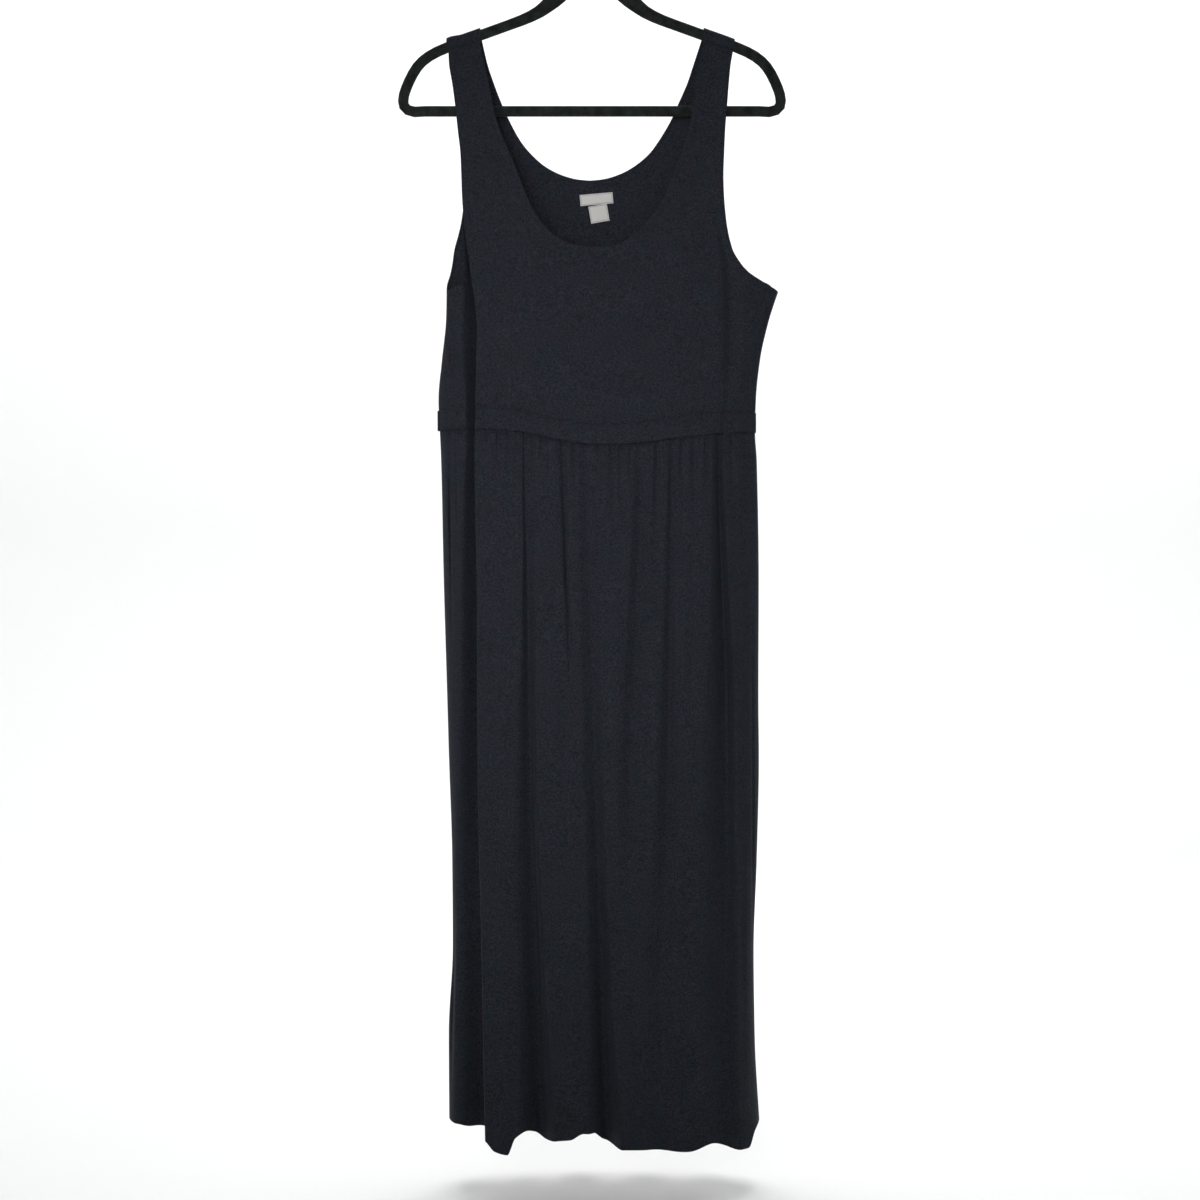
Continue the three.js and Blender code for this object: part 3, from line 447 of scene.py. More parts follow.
# Soft creases laid on the panels: from x, z to x, z, how deep (ridges are below 0) and
# how wide to each side
BODICE_CREASES = [
    (-150, -175, -128, -290, 0.9, 11),
    (-131, -170, -112, -262, -0.6, 9),
    (134, -170, 138, -262, 0.7, 8),
    (146, -185, 150, -300, -0.6, 8),
    (-108, -380, -102, -470, 0.8, 12),
    (-62, -392, -50, -480, 0.9, 14),
    (-20, -410, -14, -540, 0.5, 16),
    (66, -380, 60, -500, 0.7, 15),
    (104, -330, 122, -470, 0.8, 14),
    (196, -440, 168, -478, 1.0, 7),
    (203, -452, 182, -500, 0.8, 6),
    (-160, -448, -150, -520, 1.2, 7),
    (-170, -478, -159, -535, -1.8, 2.6),
    (-166, -474, -154, -545, 1.6, 3.2),
    (-90, -500, -40, -566, 0.6, 16),
    (40, -520, 110, -560, 0.6, 18),
]
BACK_BODICE_CREASES = [
    (-146, -320, -139, -450, -6, 5),
    (-146, -190, -126, -300, 0.8, 10),
    (138, -190, 128, -310, 0.7, 10),
    (-96, -330, -84, -450, 0.8, 14),
    (-30, -330, -22, -470, 0.6, 16),
    (52, -340, 46, -500, 0.8, 15),
    (104, -350, 112, -480, 0.7, 13),
    (-150, -450, -118, -540, 0.9, 10),
    (190, -450, 150, -530, 1.0, 10),
    (-70, -500, -10, -560, 0.5, 16),
    (30, -520, 96, -560, 0.6, 16),
]
SKIRT_CREASES = [
    (-163.5, -570, -158, -850, 3.6, 2.6),
    (-154, -596, -151, -740, 2.2, 3),
    (-156, -1130, -160, -1360, 4, 3.4),
    (-33.4, -606, -23, -900, 3.4, 3.2),
    (-29, -640, -20, -860, -0.8, 4),
    (-112, -640, -108, -900, 0.8, 10),
    (-36, -760, -28, -1100, 1.2, 9),
    (24, -700, 28, -1060, -1.6, 14),
    (66, -720, 70, -1010, -0.9, 9),
    (112, -700, 116, -1040, 1.0, 10),
    (-100, -1010, -94, -1330, -1.4, 14),
    (-24, -1080, -16, -1370, -1.2, 16),
    (52, -1120, 56, -1390, 1.4, 15),
    (104, -1080, 108, -1390, 1.2, 14),
    (168, -960, 171, -1370, 1.6, 7),
    (181.5, -780, 183.5, -1240, 2.4, 2.8),
]
BACK_SKIRT_CREASES = [
    (-146, -680, -140, -1180, 1.8, 11),
    (-84, -760, -80, -1250, 1.4, 12),
    (-8, -700, -4, -1120, 1.6, 13),
    (66, -720, 68, -1340, 1.8, 12),
    (142, -700, 146, -1260, 1.8, 11),
    (-128, -1100, -132, -1370, -1.2, 12),
    (0, -1080, -14, -1370, -1.4, 14),
    (128, -1000, 132, -1370, -1.0, 12),
]


def creases_depth(creases, x, z):
    """How deep the soft creases press a panel at each place."""
    total = 0
    for x1, z1, x2, z2, depth, width in creases:
        along_x, along_z = x2 - x1, z2 - z1
        length = math.hypot(along_x, along_z)
        share = ((x - x1) * along_x + (z - z1) * along_z) / length**2
        offset = ((x - x1) * along_z - (z - z1) * along_x) / length
        along = trough(share - 0.5, 0.5, 0.5) ** CREASE_ENDS
        total = total + depth * along * trough(offset, width, width)
    return total


def folds_depth(folds, x, z):
    """How deep the long folds press a panel at each place."""
    total = 0
    for fold in folds:
        depth = fold.at("depth", z) * trough(x - fold.at("x", z), fold.at("left", z), fold.at("right", z))
        total = total + np.where(z > fold.rows[-1, 0], 0, depth)
    return total


def profile(x, z, turn_left, turn_right):
    """Rounded profile of a panel across its width: 1 at the middle, 0 at the side seams."""
    left, right = SECTIONS.at("left", z), SECTIONS.at("right", z)
    across = (2 * x - left - right) / (right - left)
    turn = np.where(across < 0, turn_left, turn_right)
    return np.maximum(0, 1 - np.minimum(np.abs(across), 1) ** turn) ** TURN_EASE


def pressed(stand, depth, z):
    """Folds press a panel in, but never onto the panel behind it or the hanger."""
    y = np.maximum(stand - depth, np.minimum(stand, LEAST_STAND))
    return np.where(z > OVER_HANGER_Z, np.maximum(y, STRAP_R), y)


def front_stand(x, z, folds, creases=()):
    """How far the front stands off the hanger's plane at each place."""
    stand = SECTIONS.at("front", z) * profile(x, z, TURN_LEFT, SECTIONS.at("turn", z))
    return pressed(stand, folds_depth(folds, x, z) + creases_depth(creases, x, z), z)


def back_stand(x, z, folds, creases=()):
    """How far the back stands off the hanger's plane at each place."""
    stand = SECTIONS.at("back", z) * profile(x, z, TURN_BACK, TURN_BACK)
    return pressed(stand, folds_depth(folds, x, z) + creases_depth(creases, x, z), z)


def crowded(low, high, count, lines, reach, extra):
    """Places from low to high, closer together near the given lines."""
    fine = np.linspace(low, high, FINE_STEPS)
    weight = 1 + extra * sum(np.exp(-(((fine - line) / reach) ** 2)) for line in lines)
    travelled = np.concatenate([[0], np.cumsum((weight[1:] + weight[:-1]) / 2)])
    return np.interp(np.linspace(0, travelled[-1], count), travelled, fine)


def smooth_curve(points):
    """Smooth curve through all the points, as a fine line that never loops between close ones."""
    p = np.array(points, float)
    p = np.vstack([2 * p[0] - p[1], p, 2 * p[-1] - p[-2]])
    line = []
    for a, b, c, d in zip(p, p[1:], p[2:], p[3:]):
        t1 = np.linalg.norm(b - a) ** 0.5
        t2 = t1 + np.linalg.norm(c - b) ** 0.5
        t3 = t2 + np.linalg.norm(d - c) ** 0.5
        t = np.linspace(t1, t2, CURVE_STEPS, endpoint=False)[:, None]
        ab = ((t1 - t) * a + t * b) / t1
        bc = ((t2 - t) * b + (t - t1) * c) / (t2 - t1)
        cd = ((t3 - t) * c + (t - t2) * d) / (t3 - t2)
        abc = ((t2 - t) * ab + t * bc) / t2
        bcd = ((t3 - t) * bc + (t - t1) * cd) / (t3 - t1)
        line.append(((t2 - t) * abc + (t - t1) * bcd) / (t2 - t1))
    return np.vstack([*line, p[-2:-1]])


def points_at(line, shares):
    """Points at shares of the way along a line."""
    steps = np.linalg.norm(np.diff(line, axis=0), axis=1)
    travelled = np.concatenate([[0], np.cumsum(steps)])
    columns = [np.interp(shares * travelled[-1], travelled, column) for column in line.T]
    return np.stack(columns, axis=1)


def distance_to(line, x, z):
    """Distance of each point from a line in the front view."""
    nearest = np.full(x.shape, 1e9)
    for px, pz in points_at(line, np.linspace(0, 1, EDGE_STEPS)):
        nearest = np.minimum(nearest, np.hypot(x - px, z - pz))
    return nearest


def crown_z(x):
    """Height of the strap's crown: the top of the arm, with the strap lying on it."""
    arm_top = SHOULDER.at("z", np.abs(x)) + ARM_HALF * math.hypot(1, SHOULDER_SLOPE)
    bunch = BUNCH_RISE * ease((BUNCH_FROM - x) / BUNCH_WIDTH)
    return arm_top + CROWN_RISE + bunch


# Turned edges: their width, how far they stand proud, how softly that ends, how it starts at the
# very edge and rounds up from there, and the groove that the stitches draw. The underarm's hem is
# so many times as thick.
HEM_WIDTH = 7.5
HEM_PROUD = 0.4
HEM_FADE = 3
EDGE_START = 0.4
EDGE_ROUND = 1.2
GROOVE_DEPTH = 0.15
GROOVE_REACH = 1.2
UNDERARM_HEM = 3

# Seams: depth and reach of the dip where the bodice is sewn to the waistband, and over what stand
# it and the turned edges come in beside a side seam
SEAM_DIP = 1.7
SEAM_REACH = 2.2
SEAM_FADE = 6

# The shoulder seam: depth and reach of its dip behind the stitches and before them, and the ridge
# of the allowance behind them, by its height, place and spread
DIP_BEHIND = (0.8, 0.9)
DIP_BEFORE = (1.1, 1.3)
RIDGE_PROUD = 0.6
RIDGE_PLACE = 3
RIDGE_SPREAD = (3, 5)


def turned_edge(distance):
    """A turned and stitched edge is a little thicker, and its stitches draw a faint groove."""
    inner = ease((HEM_WIDTH - distance) / HEM_FADE + 0.5)
    band = HEM_PROUD * inner * ease(distance / EDGE_ROUND + EDGE_START)
    return band - GROOVE_DEPTH * np.exp(-(((distance - HEM_WIDTH) / GROOVE_REACH) ** 2))


def tucked_seam(distance, depth, reach):
    """Cloth dips where it is sewn in."""
    return -depth * np.exp(-((distance / reach) ** 2))


def over_arm(x, distance):
    """A row of the strap at a distance along the cloth from its crown, behind it if positive."""
    angle = np.clip(distance / STRAP_R, -math.pi / 2, math.pi / 2)
    straight = max(0, abs(distance) - STRAP_R * math.pi / 2)
    z = crown_z(x) - STRAP_R * (1 - math.cos(angle)) - straight
    past = distance + SHOULDER_SEAM
    behind = tucked_seam(past, *DIP_BEHIND) + RIDGE_PROUD * trough(past - RIDGE_PLACE, *RIDGE_SPREAD)
    out = STRAP_R + (behind if past > 0 else tucked_seam(past, *DIP_BEFORE))
    return np.stack([x, np.full_like(x, out * math.sin(angle)), z], axis=1)


# The lip of the left fold: how far it lies over the bottom of its crease, and how fast that falls
# off across the crease
LIP_OVER = 4.4
LIP_FALL = 1.5


def lip_x(z):
    """Where the lip of the left fold lies."""
    return LEFT_CREASE.at("x", z) + LEFT_CREASE.at("right", z)


def under_lip(x, z):
    """The bottom of the left crease lies a little under the lip beside it."""
    left, right = LEFT_CREASE.at("left", z), LEFT_CREASE.at("right", z)
    return x + LIP_OVER * trough(x - LEFT_CREASE.at("x", z), left, right) ** LIP_FALL


def band_line(column):
    """One of the waistband's lines, as a function of x."""
    return lambda x: BAND_LINES.at(column, x)


def side_line(side):
    """The body's outline on one side, as a function of height."""
    return lambda z: SECTIONS.at(side, z)


def edge_curve(table, side, corner):
    """A panel's edge as a line, from its corner on the strap down the rows of a table."""
    column = table.columns.index(side)
    rows = [(row[column], row[0]) for row in table.rows[::-1] if not np.isnan(row[column])]
    return smooth_curve([(corner[0], corner[2]), *rows])


def edge_points(curve, on_curve, all_rows, line_x, waist_z):
    """Points on one edge of a half panel: so many along a curve, and the rest down to the waist."""
    upper = points_at(curve, np.arange(1, on_curve + 1) / on_curve)
    z = mix(upper[-1, 1], waist_z, np.arange(1, all_rows - on_curve + 1) / (all_rows - on_curve))
    lower = np.stack([np.broadcast_to(line_x(z), z.shape), z], axis=1)
    return np.vstack([upper, lower])


# The bodice panels. FINER rows stand for each row of a plain grid, and the columns are those of
# half a panel and of the strip beside the left fold. The strip's seams and hem come in over one
# part in STRIP_FADE of its width.
FINER = 6
HALF_COLUMNS = 100
STRIP_COLUMNS = 48
STRIP_FADE = 8

FRONT_BODICE = SimpleNamespace(
    facing=-1,
    strap_in=FRONT_STRAP_IN,
    armhole=FRONT_ARMHOLE,
    neck=FRONT_NECK,
    centre_x=8,
    side_x={"left": lip_x, "right": side_line("right")},
    neck_rows=14 * FINER,
    armhole_rows=14 * FINER,
    all_rows=22 * FINER,
    strap_distances=[-SHOULDER_SEAM - SEAM_GAP / 2 - step for step in (0, 0.5, 1.1, 1.9, 3)],
    waist_line=lambda x: BAND_LINES.at("top", x) + SEAM_GAP,
    stand=lambda x, z: front_stand(x, z, BODICE_FOLDS, BODICE_CREASES),
)
BACK_BODICE = SimpleNamespace(
    facing=1,
    strap_in=0,
    armhole=BACK_ARMHOLE,
    neck=BACK_NECK,
    centre_x=-2.3,
    side_x={"left": side_line("left"), "right": side_line("right")},
    neck_rows=11 * FINER,
    armhole_rows=12 * FINER,
    all_rows=19 * FINER,
    strap_distances=[
        *[-SHOULDER_SEAM + SEAM_GAP / 2 + step for step in (0, 0.5, 1.1, 1.9, 3, 4.4, 6, 8)],
        *np.linspace(-STRAP_R * math.pi / 2, STRAP_R * math.pi / 2, 16),
    ],
    waist_line=lambda x: BAND_LINES.at("back_top", x) + SEAM_GAP,
    stand=lambda x, z: back_stand(x, z, [], BACK_BODICE_CREASES),
)


def rows_below_strap(side, panel, strap, armhole, neck, across):
    """Rows of half a bodice panel from the strap's last row down to the waist seam."""
    line_x = panel.side_x[side]
    outer_waist = panel.waist_line(line_x(WAIST_Z))
    centre_waist = panel.waist_line(panel.centre_x)
    outer = edge_points(armhole, panel.armhole_rows, panel.all_rows, line_x, outer_waist)
    inner = edge_points(neck, panel.neck_rows, panel.all_rows, lambda z: panel.centre_x, centre_waist)
    corner = max(panel.armhole_rows, panel.neck_rows)
    rows = []
    for r, (start, end) in enumerate(zip(outer, inner), 1):
        x = mix(start[0], end[0], across)
        below = max(0, r - corner) / (panel.all_rows - corner)
        chord = mix(outer_waist, centre_waist, across)
        z = mix(start[1], end[1], across) + (panel.waist_line(x) - chord) * below**2
        y = panel.stand(x, z)
        y = mix(np.abs(strap[:, 1]), y, ease(r / FINER)) if r < FINER else y
        rows.append(np.stack([x, panel.facing * y, z], axis=1))
    return np.array(rows)


def sewn_lift(rows, panel, armhole, neck):
    """How far a bodice panel stands out at its turned edges, and in at its waist seam."""
    x, z = rows[..., 0], rows[..., 2]
    seam = tucked_seam(z - panel.waist_line(x), SEAM_DIP, SEAM_REACH)
    edge = np.minimum(distance_to(armhole, x, z), distance_to(neck, x, z))
    return (seam + turned_edge(edge)) * ease(np.abs(rows[..., 1]) / SEAM_FADE)


def half_bodice(side, panel):
    """Rows of points over one half of a bodice panel, from its strap to the waist seam. Each row
    runs from the armhole and side to the neckline and centre line."""
    outer_x, inner_x = STRAP_EDGES[side]
    outer_x -= math.copysign(panel.strap_in, outer_x)
    across = crowded(0, 1, HALF_COLUMNS, [0], reach=0.05, extra=2.5)
    x = mix(outer_x, inner_x, across)
    strap = np.array([over_arm(x, distance) for distance in panel.strap_distances])
    armhole = edge_curve(panel.armhole, side, strap[-1, 0])
    neck = edge_curve(panel.neck, side, strap[-1, -1])
    body = rows_below_strap(side, panel, strap[-1], armhole, neck, across)
    body[..., 1] += panel.facing * sewn_lift(body, panel, armhole, neck)
    rows = np.concatenate([strap, body])
    return rows if side == "left" else rows[:, ::-1]


def left_strip(main, panel):
    """The strip beside the left fold, between the side seam and the fold's lip."""
    lips = main[-(panel.all_rows - panel.armhole_rows + 1):, 0]
    waist_z = panel.waist_line(SECTIONS.at("left", WAIST_Z))
    across = crowded(0, 1, STRIP_COLUMNS, [0, 1], reach=0.12, extra=1.5)
    rows = []
    for r, lip in enumerate(lips):
        share = r / (len(lips) - 1)
        outer_z = mix(UNDERARM_Z, waist_z, share)
        outer = SECTIONS.at("left", outer_z)
        x = mix(outer, lip[0], across)
        z = mix(outer_z, lip[2], across)
        seam = tucked_seam(z - panel.waist_line(x), SEAM_DIP, SEAM_REACH)
        hem = UNDERARM_HEM * turned_edge(UNDERARM_Z - outer_z)
        y = panel.stand(x, z) + (seam + hem) * (1 - across) * ease(across * STRIP_FADE)
        y[-1] = abs(lip[1])
        rows.append(np.stack([under_lip(x, z), -y, z], axis=1))
    return np.array(rows)


def along_folds(s, z, folds):
    """Where a column of the cloth lies across the body at a height: it follows the long folds."""
    lines = sorted(folds, key=lambda fold: fold.rows[-2, 1])
    at_waist = [fold.rows[-2, 1] for fold in lines]
    at_height = [fold.at("x", z) for fold in lines]
    waist = [SECTIONS.at("left", WAIST_Z), *at_waist, SECTIONS.at("right", WAIST_Z)]
    here = [SECTIONS.at("left", z), *at_height, SECTIONS.at("right", z)]
    return np.interp(s, waist, here)


# A gather's greatest half width at the seam, and the space beyond the first and last of a row
GATHER_REACH = 5
GATHER_SPACE = 12


def gather_depth(gathers, s, drop):
    """How deep the gathers press a row of the skirt, at a drop below the waist seam."""
    total = np.zeros_like(s)
    for i, (x, depth, run) in enumerate(gathers):
        if drop >= run:
            continue
        before = gathers[i - 1][0] if i > 0 else x - GATHER_SPACE
        after = gathers[i + 1][0] if i + 1 < len(gathers) else x + GATHER_SPACE
        spread = 1 + drop / run
        left = min(GATHER_REACH, (x - before) / 2) * spread
        right = min(GATHER_REACH, (after - x) / 2) * spread
        total = total + depth * (1 - drop / run) * trough(s - x, left, right)
    return total


# The little pleats: from where to where they run, and ranges of their depth, length and spacing
PLEATS_FROM = -170
PLEATS_TO = 184
PLEAT_DEPTH = (0.7, 2.1)
PLEAT_LENGTH = (14, 70)
PLEAT_SPACING = (3.4, 7.8)


def small_gathers(seed):
    """The little pleats between the main gathers, uneven in place, depth and length."""
    rng = random.Random(seed)
    gathers = []
    x = PLEATS_FROM
    while x < PLEATS_TO:
        gathers.append((x, rng.uniform(*PLEAT_DEPTH), rng.uniform(*PLEAT_LENGTH)))
        x += rng.uniform(*PLEAT_SPACING)
    return gathers


# The skirt panels. Their columns lie closer together near the given lines, where creases start.
FRONT_SKIRT = SimpleNamespace(
    facing=-1,
    section="front",
    folds=FRONT_FOLDS,
    gathers=FRONT_GATHERS,
    small=small_gathers(11),
    columns=430,
    rows=104,
    close_at=[-135, -131.8, -76, -33, 89.5, 143.6],
    waist_line=lambda x: BAND_LINES.at("bottom", x) - SEAM_GAP,
    hem_line=lambda x: HEM_LINE.at("front", x),
    stand=lambda x, z: front_stand(x, z, FRONT_FOLDS, SKIRT_CREASES),
)
BACK_SKIRT = SimpleNamespace(
    facing=1,
    section="back",
    folds=BACK_FOLDS,
    gathers=BACK_GATHERS,
    small=small_gathers(23),
    columns=400,
    rows=96,
    close_at=[-117, -42, 37, 112],
    waist_line=lambda x: BAND_LINES.at("back_bottom", x) - SEAM_GAP,
    hem_line=lambda x: HEM_LINE.at("back", x),
    stand=lambda x, z: back_stand(x, z, BACK_FOLDS, BACK_SKIRT_CREASES),
)


# Below the waist seam: the gathers' strength, how open they are at the seam and the drop over
# which they open, the tuck at the seam, the puff below it, and the stand over which all of these
# come in beside a side seam
GATHER_STRENGTH = 0.85
GATHER_AT_SEAM = 0.35
GATHER_OPENING = 5
TUCK_DEPTH = 1.9
TUCK_DROP = 4.5
PUFF_PROUD = 1.0
PUFF_DROP = 7
PUFF_SPREAD = (7, 22)
SIDE_FADE = 12


def skirt_rows(panel):
    """Rows of points over a skirt panel, from the waist seam to the hem."""
    left, right = SECTIONS.at("left", WAIST_Z), SECTIONS.at("right", WAIST_Z)
    s = crowded(left, right, panel.columns, [left, right, *panel.close_at], reach=4, extra=1.2)
    rows = []
    for share in crowded(0, 1, panel.rows, [0], reach=0.03, extra=5):
        level = mix(WAIST_Z, HEM_Z, share)
        x = along_folds(s, level, panel.folds)
        z = mix(panel.waist_line(x), panel.hem_line(x), share)
        drop = WAIST_Z - level
        gathers = gather_depth(panel.gathers, s, drop) + gather_depth(panel.small, s, drop)
        gathers = gathers * ease(GATHER_AT_SEAM + drop / GATHER_OPENING)
        puff = PUFF_PROUD * trough(drop - PUFF_DROP, *PUFF_SPREAD)
        tuck = TUCK_DEPTH * ease(1 - drop / TUCK_DROP)
        sag = SECTIONS.at(panel.section, z) - SECTIONS.at(panel.section, level)
        y = panel.stand(x, level)
        inward = GATHER_STRENGTH * gathers + tuck - puff - sag
        y = pressed(y, inward * ease(y / SIDE_FADE), level)
        x = under_lip(x, level) if panel.facing < 0 else x
        rows.append(np.stack([x, panel.facing * y, z], axis=1))
    return np.array(rows)


# The casing: how far its left and right ends stand past the side seams, how they are inset and
# rounded, how full it is across its height, and how its ripple shows at the top and on the
# bottom edge. The ripple is two waves, by height, length, drift and the drift's length.
BAND_ENDS = (2.6, 1.2)
BAND_INSET = 0.8
BAND_ROUND = 2.8
BAND_FULLNESS = 0.55
BAND_WAVES = [(0.25, 3.1, 1.4, 17), (0.15, 1.9, 2, 11)]
RIPPLE_AT_TOP = 0.3
RIPPLE_ON_EDGE = 0.5
BAND_COLUMNS = 280
BAND_ROWS = 16


def band_ripple(x):
    """The uneven ripple of cloth over elastic."""
    waves = [high * np.sin(x / long + drift * np.sin(x / slow)) for high, long, drift, slow in BAND_WAVES]
    return sum(waves)


def band_rows(facing, stand, top_line, bottom_line):
    """Rows of points over half of the elastic casing, rounded across its height."""
    left = SECTIONS.at("left", WAIST_Z) - BAND_ENDS[0]
    right = SECTIONS.at("right", WAIST_Z) + BAND_ENDS[1]
    x = crowded(left, right, BAND_COLUMNS, [left, right], reach=4, extra=6)
    inside = np.clip(x, left + BAND_ENDS[0] + BAND_INSET, right - BAND_ENDS[1] - BAND_INSET)
    end = np.clip(np.minimum(x - left, right - x) / BAND_ROUND, 0, 1)
    rounded = np.sqrt(1 - (1 - end) ** 2)
    ripple = band_ripple(x)
    rows = []
    for share in np.linspace(0, 1, BAND_ROWS):
        swell = math.sin(math.pi * share)
        bulge = BAND_PROUD * swell**BAND_FULLNESS
        z = mix(top_line(x), bottom_line(x) + RIPPLE_ON_EDGE * ripple, share)
        y = (stand(inside, z) + bulge + ripple * mix(RIPPLE_AT_TOP, 1, share) * swell) * rounded
        laid_x = under_lip(x, z) if facing < 0 else x
        rows.append(np.stack([laid_x, facing * np.maximum(y, SEAM_GAP / 2), z], axis=1))
    return np.array(rows)


# Labels sewn inside the back of the neck, clear of the cloth's inner face: middle, size and tilt.
# They bow out across their width, the most at their lower edge.
LABELS = {
    "neck_label": SimpleNamespace(x=5.2, z=-322.8, width=38, height=12.6, tilt=5),
    "size_tab": SimpleNamespace(x=8, z=-339.4, width=21.5, height=19.6, tilt=10),
}
LABEL_CLEAR = 0.9
LABEL_BOW = 0.5
BOW_AT_TOP = 0.6
LABEL_COLUMNS = 40
LABEL_ROWS = 24


def label_rows(label):
    """Rows of points over a label."""
    angle = math.radians(label.tilt)
    u = np.linspace(-0.5, 0.5, LABEL_COLUMNS)
    rows = []
    for v in np.linspace(0.5, -0.5, LABEL_ROWS):
        x = label.x + u * label.width * math.cos(angle) - v * label.height * math.sin(angle)
        z = label.z + u * label.width * math.sin(angle) + v * label.height * math.cos(angle)
        bow = LABEL_BOW * (1 - (2 * u) ** 2) * mix(BOW_AT_TOP, 1, 0.5 - v)
        y = back_stand(x, z, []) - JERSEY_WALL - LABEL_CLEAR - bow
        rows.append(np.stack([x, y, z], axis=1))
    return np.array(rows)


# Making of meshes

# How near to each other points are welded, and up to what angle between faces an edge is smooth
WELD = 0.02
SMOOTH_UP_TO = math.radians(60)


def deselect_all():
    for obj in bpy.context.selected_objects:
        obj.select_set(False)


def select_only(*objects):
    deselect_all()
    for obj in objects:
        obj.select_set(True)
    bpy.context.view_layer.objects.active = objects[-1]


def apply_modifier(obj, kind, **settings):
    select_only(obj)
    modifier = obj.modifiers.new(kind.title(), kind)
    for name, value in settings.items():
        setattr(modifier, name, value)
    bpy.ops.object.modifier_apply(modifier=modifier.name)


def grid_patch(rows, u, v):
    """A grid whose points are placed on rows of points, with a UV map of the flat cloth."""
    count_rows, count_columns = rows.shape[:2]
    deselect_all()
    bpy.ops.mesh.primitive_grid_add(x_subdivisions=count_columns - 1, y_subdivisions=count_rows - 1, size=1)
    obj = bpy.context.object
    mesh = obj.data
    flat = np.zeros(len(mesh.vertices) * 3, np.float32)
    mesh.vertices.foreach_get("co", flat)
    flat = flat.reshape(-1, 3)
    column = np.rint((flat[:, 0] + 0.5) * (count_columns - 1)).astype(int)
    row = np.rint((0.5 - flat[:, 1]) * (count_rows - 1)).astype(int)
    mesh.vertices.foreach_set("co", (rows[row, column] * MM).astype(np.float32).ravel())
    corner = np.zeros(len(mesh.loops), np.int32)
    mesh.loops.foreach_get("vertex_index", corner)
    laid = np.stack([u[row, column], v[row, column]], axis=1) * MM
    mesh.uv_layers.active.data.foreach_set("uv", laid[corner].astype(np.float32).ravel())
    mesh.update()
    return obj


def flat_map(rows):
    """Lengths along a patch's rows and columns, in millimetres, as the cloth was cut."""
    across = np.linalg.norm(np.diff(rows, axis=1), axis=2)
    middle = len(rows) // 2
    down = np.linalg.norm(np.diff(rows, axis=0), axis=2).mean(axis=1)
    u = np.concatenate([[0], np.cumsum(across[middle])])
    v = -np.concatenate([[0], np.cumsum(down)])[:, None]
    return np.broadcast_to(u, rows.shape[:2]), np.broadcast_to(v, rows.shape[:2])


def front_map(rows):
    """The front view's own place, for panels that hang nearly flat."""
    return rows[..., 0], rows[..., 2]


def cloth_shell(name, patches, wall, finish, node, lay=front_map):
    """One piece of cloth from its patches of rows, as a thin shell that stands for a CAD node."""
    made = [grid_patch(rows, *lay(rows)) for rows in patches]
    select_only(*made)
    if len(made) > 1:
        bpy.ops.object.join()
    obj = bpy.context.object
    obj.name = name
    obj.data.name = name
    bpy.ops.object.mode_set(mode="EDIT")
    bpy.ops.mesh.select_all(action="SELECT")
    bpy.ops.mesh.remove_doubles(threshold=WELD * MM)
    bpy.ops.object.mode_set(mode="OBJECT")
    apply_modifier(obj, "SOLIDIFY", thickness=wall * MM, offset=-1)
    select_only(obj)
    bpy.ops.object.shade_smooth_by_angle(angle=SMOOTH_UP_TO)
    obj.data.materials.append(finish)
    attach(obj, "root")
    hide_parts(node)
    return obj


# Materials

JERSEY_BLUE = (0.0074, 0.0095, 0.0135)
BAND_BLUE = (0.0074, 0.0094, 0.0134)
RIBBON_WHITE = (0.405, 0.4, 0.386)
FLOCK_BLACK = (0.0096, 0.0118, 0.011)
STEEL_GREY = (0.62, 0.63, 0.65)


class Wire:
    """One output in a material. Sums with numbers and other wires add Math nodes."""

    def __init__(self, socket):
        self.socket = socket

    def math(self, operation, *others):
        return node(self.socket.id_data, "ShaderNodeMath", {"operation": operation}, self, *others)

    def __add__(self, other):
        return self.math("ADD", other)

    def __sub__(self, other):
        return self.math("SUBTRACT", other)

    def __rsub__(self, other):
        return self.math("MULTIPLY", -1).math("ADD", other)

    def __mul__(self, other):
        return self.math("MULTIPLY", other)

    def __truediv__(self, other):
        return self.math("DIVIDE", other)

    def __abs__(self):
        return self.math("ABSOLUTE")

    def __mod__(self, other):
        return self.math("FLOORED_MODULO", other)

    __radd__ = __add__
    __rmul__ = __mul__


def node(tree, kind, settings=None, *places, at=(), out=0, **named):
    """Adds a node: its settings first, then the values or wires of its sockets, which are given in
    their order, by their numbers or by their names."""
    made = tree.nodes.new(kind)
    for name, value in (settings or {}).items():
        setattr(made, name, value)
    for key, value in [*enumerate(places), *at, *named.items()]:
        socket = made.inputs[key if isinstance(key, int) else key.replace("_", " ")]
        if isinstance(value, Wire):
            tree.links.new(value.socket, socket)
        else:
            socket.default_value = value
    return Wire(made.outputs[out])


def parts_of(tree, place):
    """The X, Y and Z of a place."""
    x = node(tree, "ShaderNodeSeparateXYZ", None, place)
    return [Wire(socket) for socket in x.socket.node.outputs]


def shade_of(tree, colour, tone):
    """A colour made darker or lighter by a tone."""
    return node(tree, "ShaderNodeVectorMath", {"operation": "SCALE"}, colour, Scale=tone)


def new_finish(name, **constants):
    """An empty material with its Principled shader, and that shader's constant sockets set."""
    material = bpy.data.materials.new(name)
    material.use_nodes = True
    shader = material.node_tree.nodes["Principled BSDF"]
    for key, value in constants.items():
        shader.inputs[key.replace("_", " ")].default_value = value
    return material, material.node_tree, shader


def feed(tree, wire, shader, socket):
    """Links a wire to one of a shader's sockets."""
    tree.links.new(wire.socket, shader.inputs[socket])


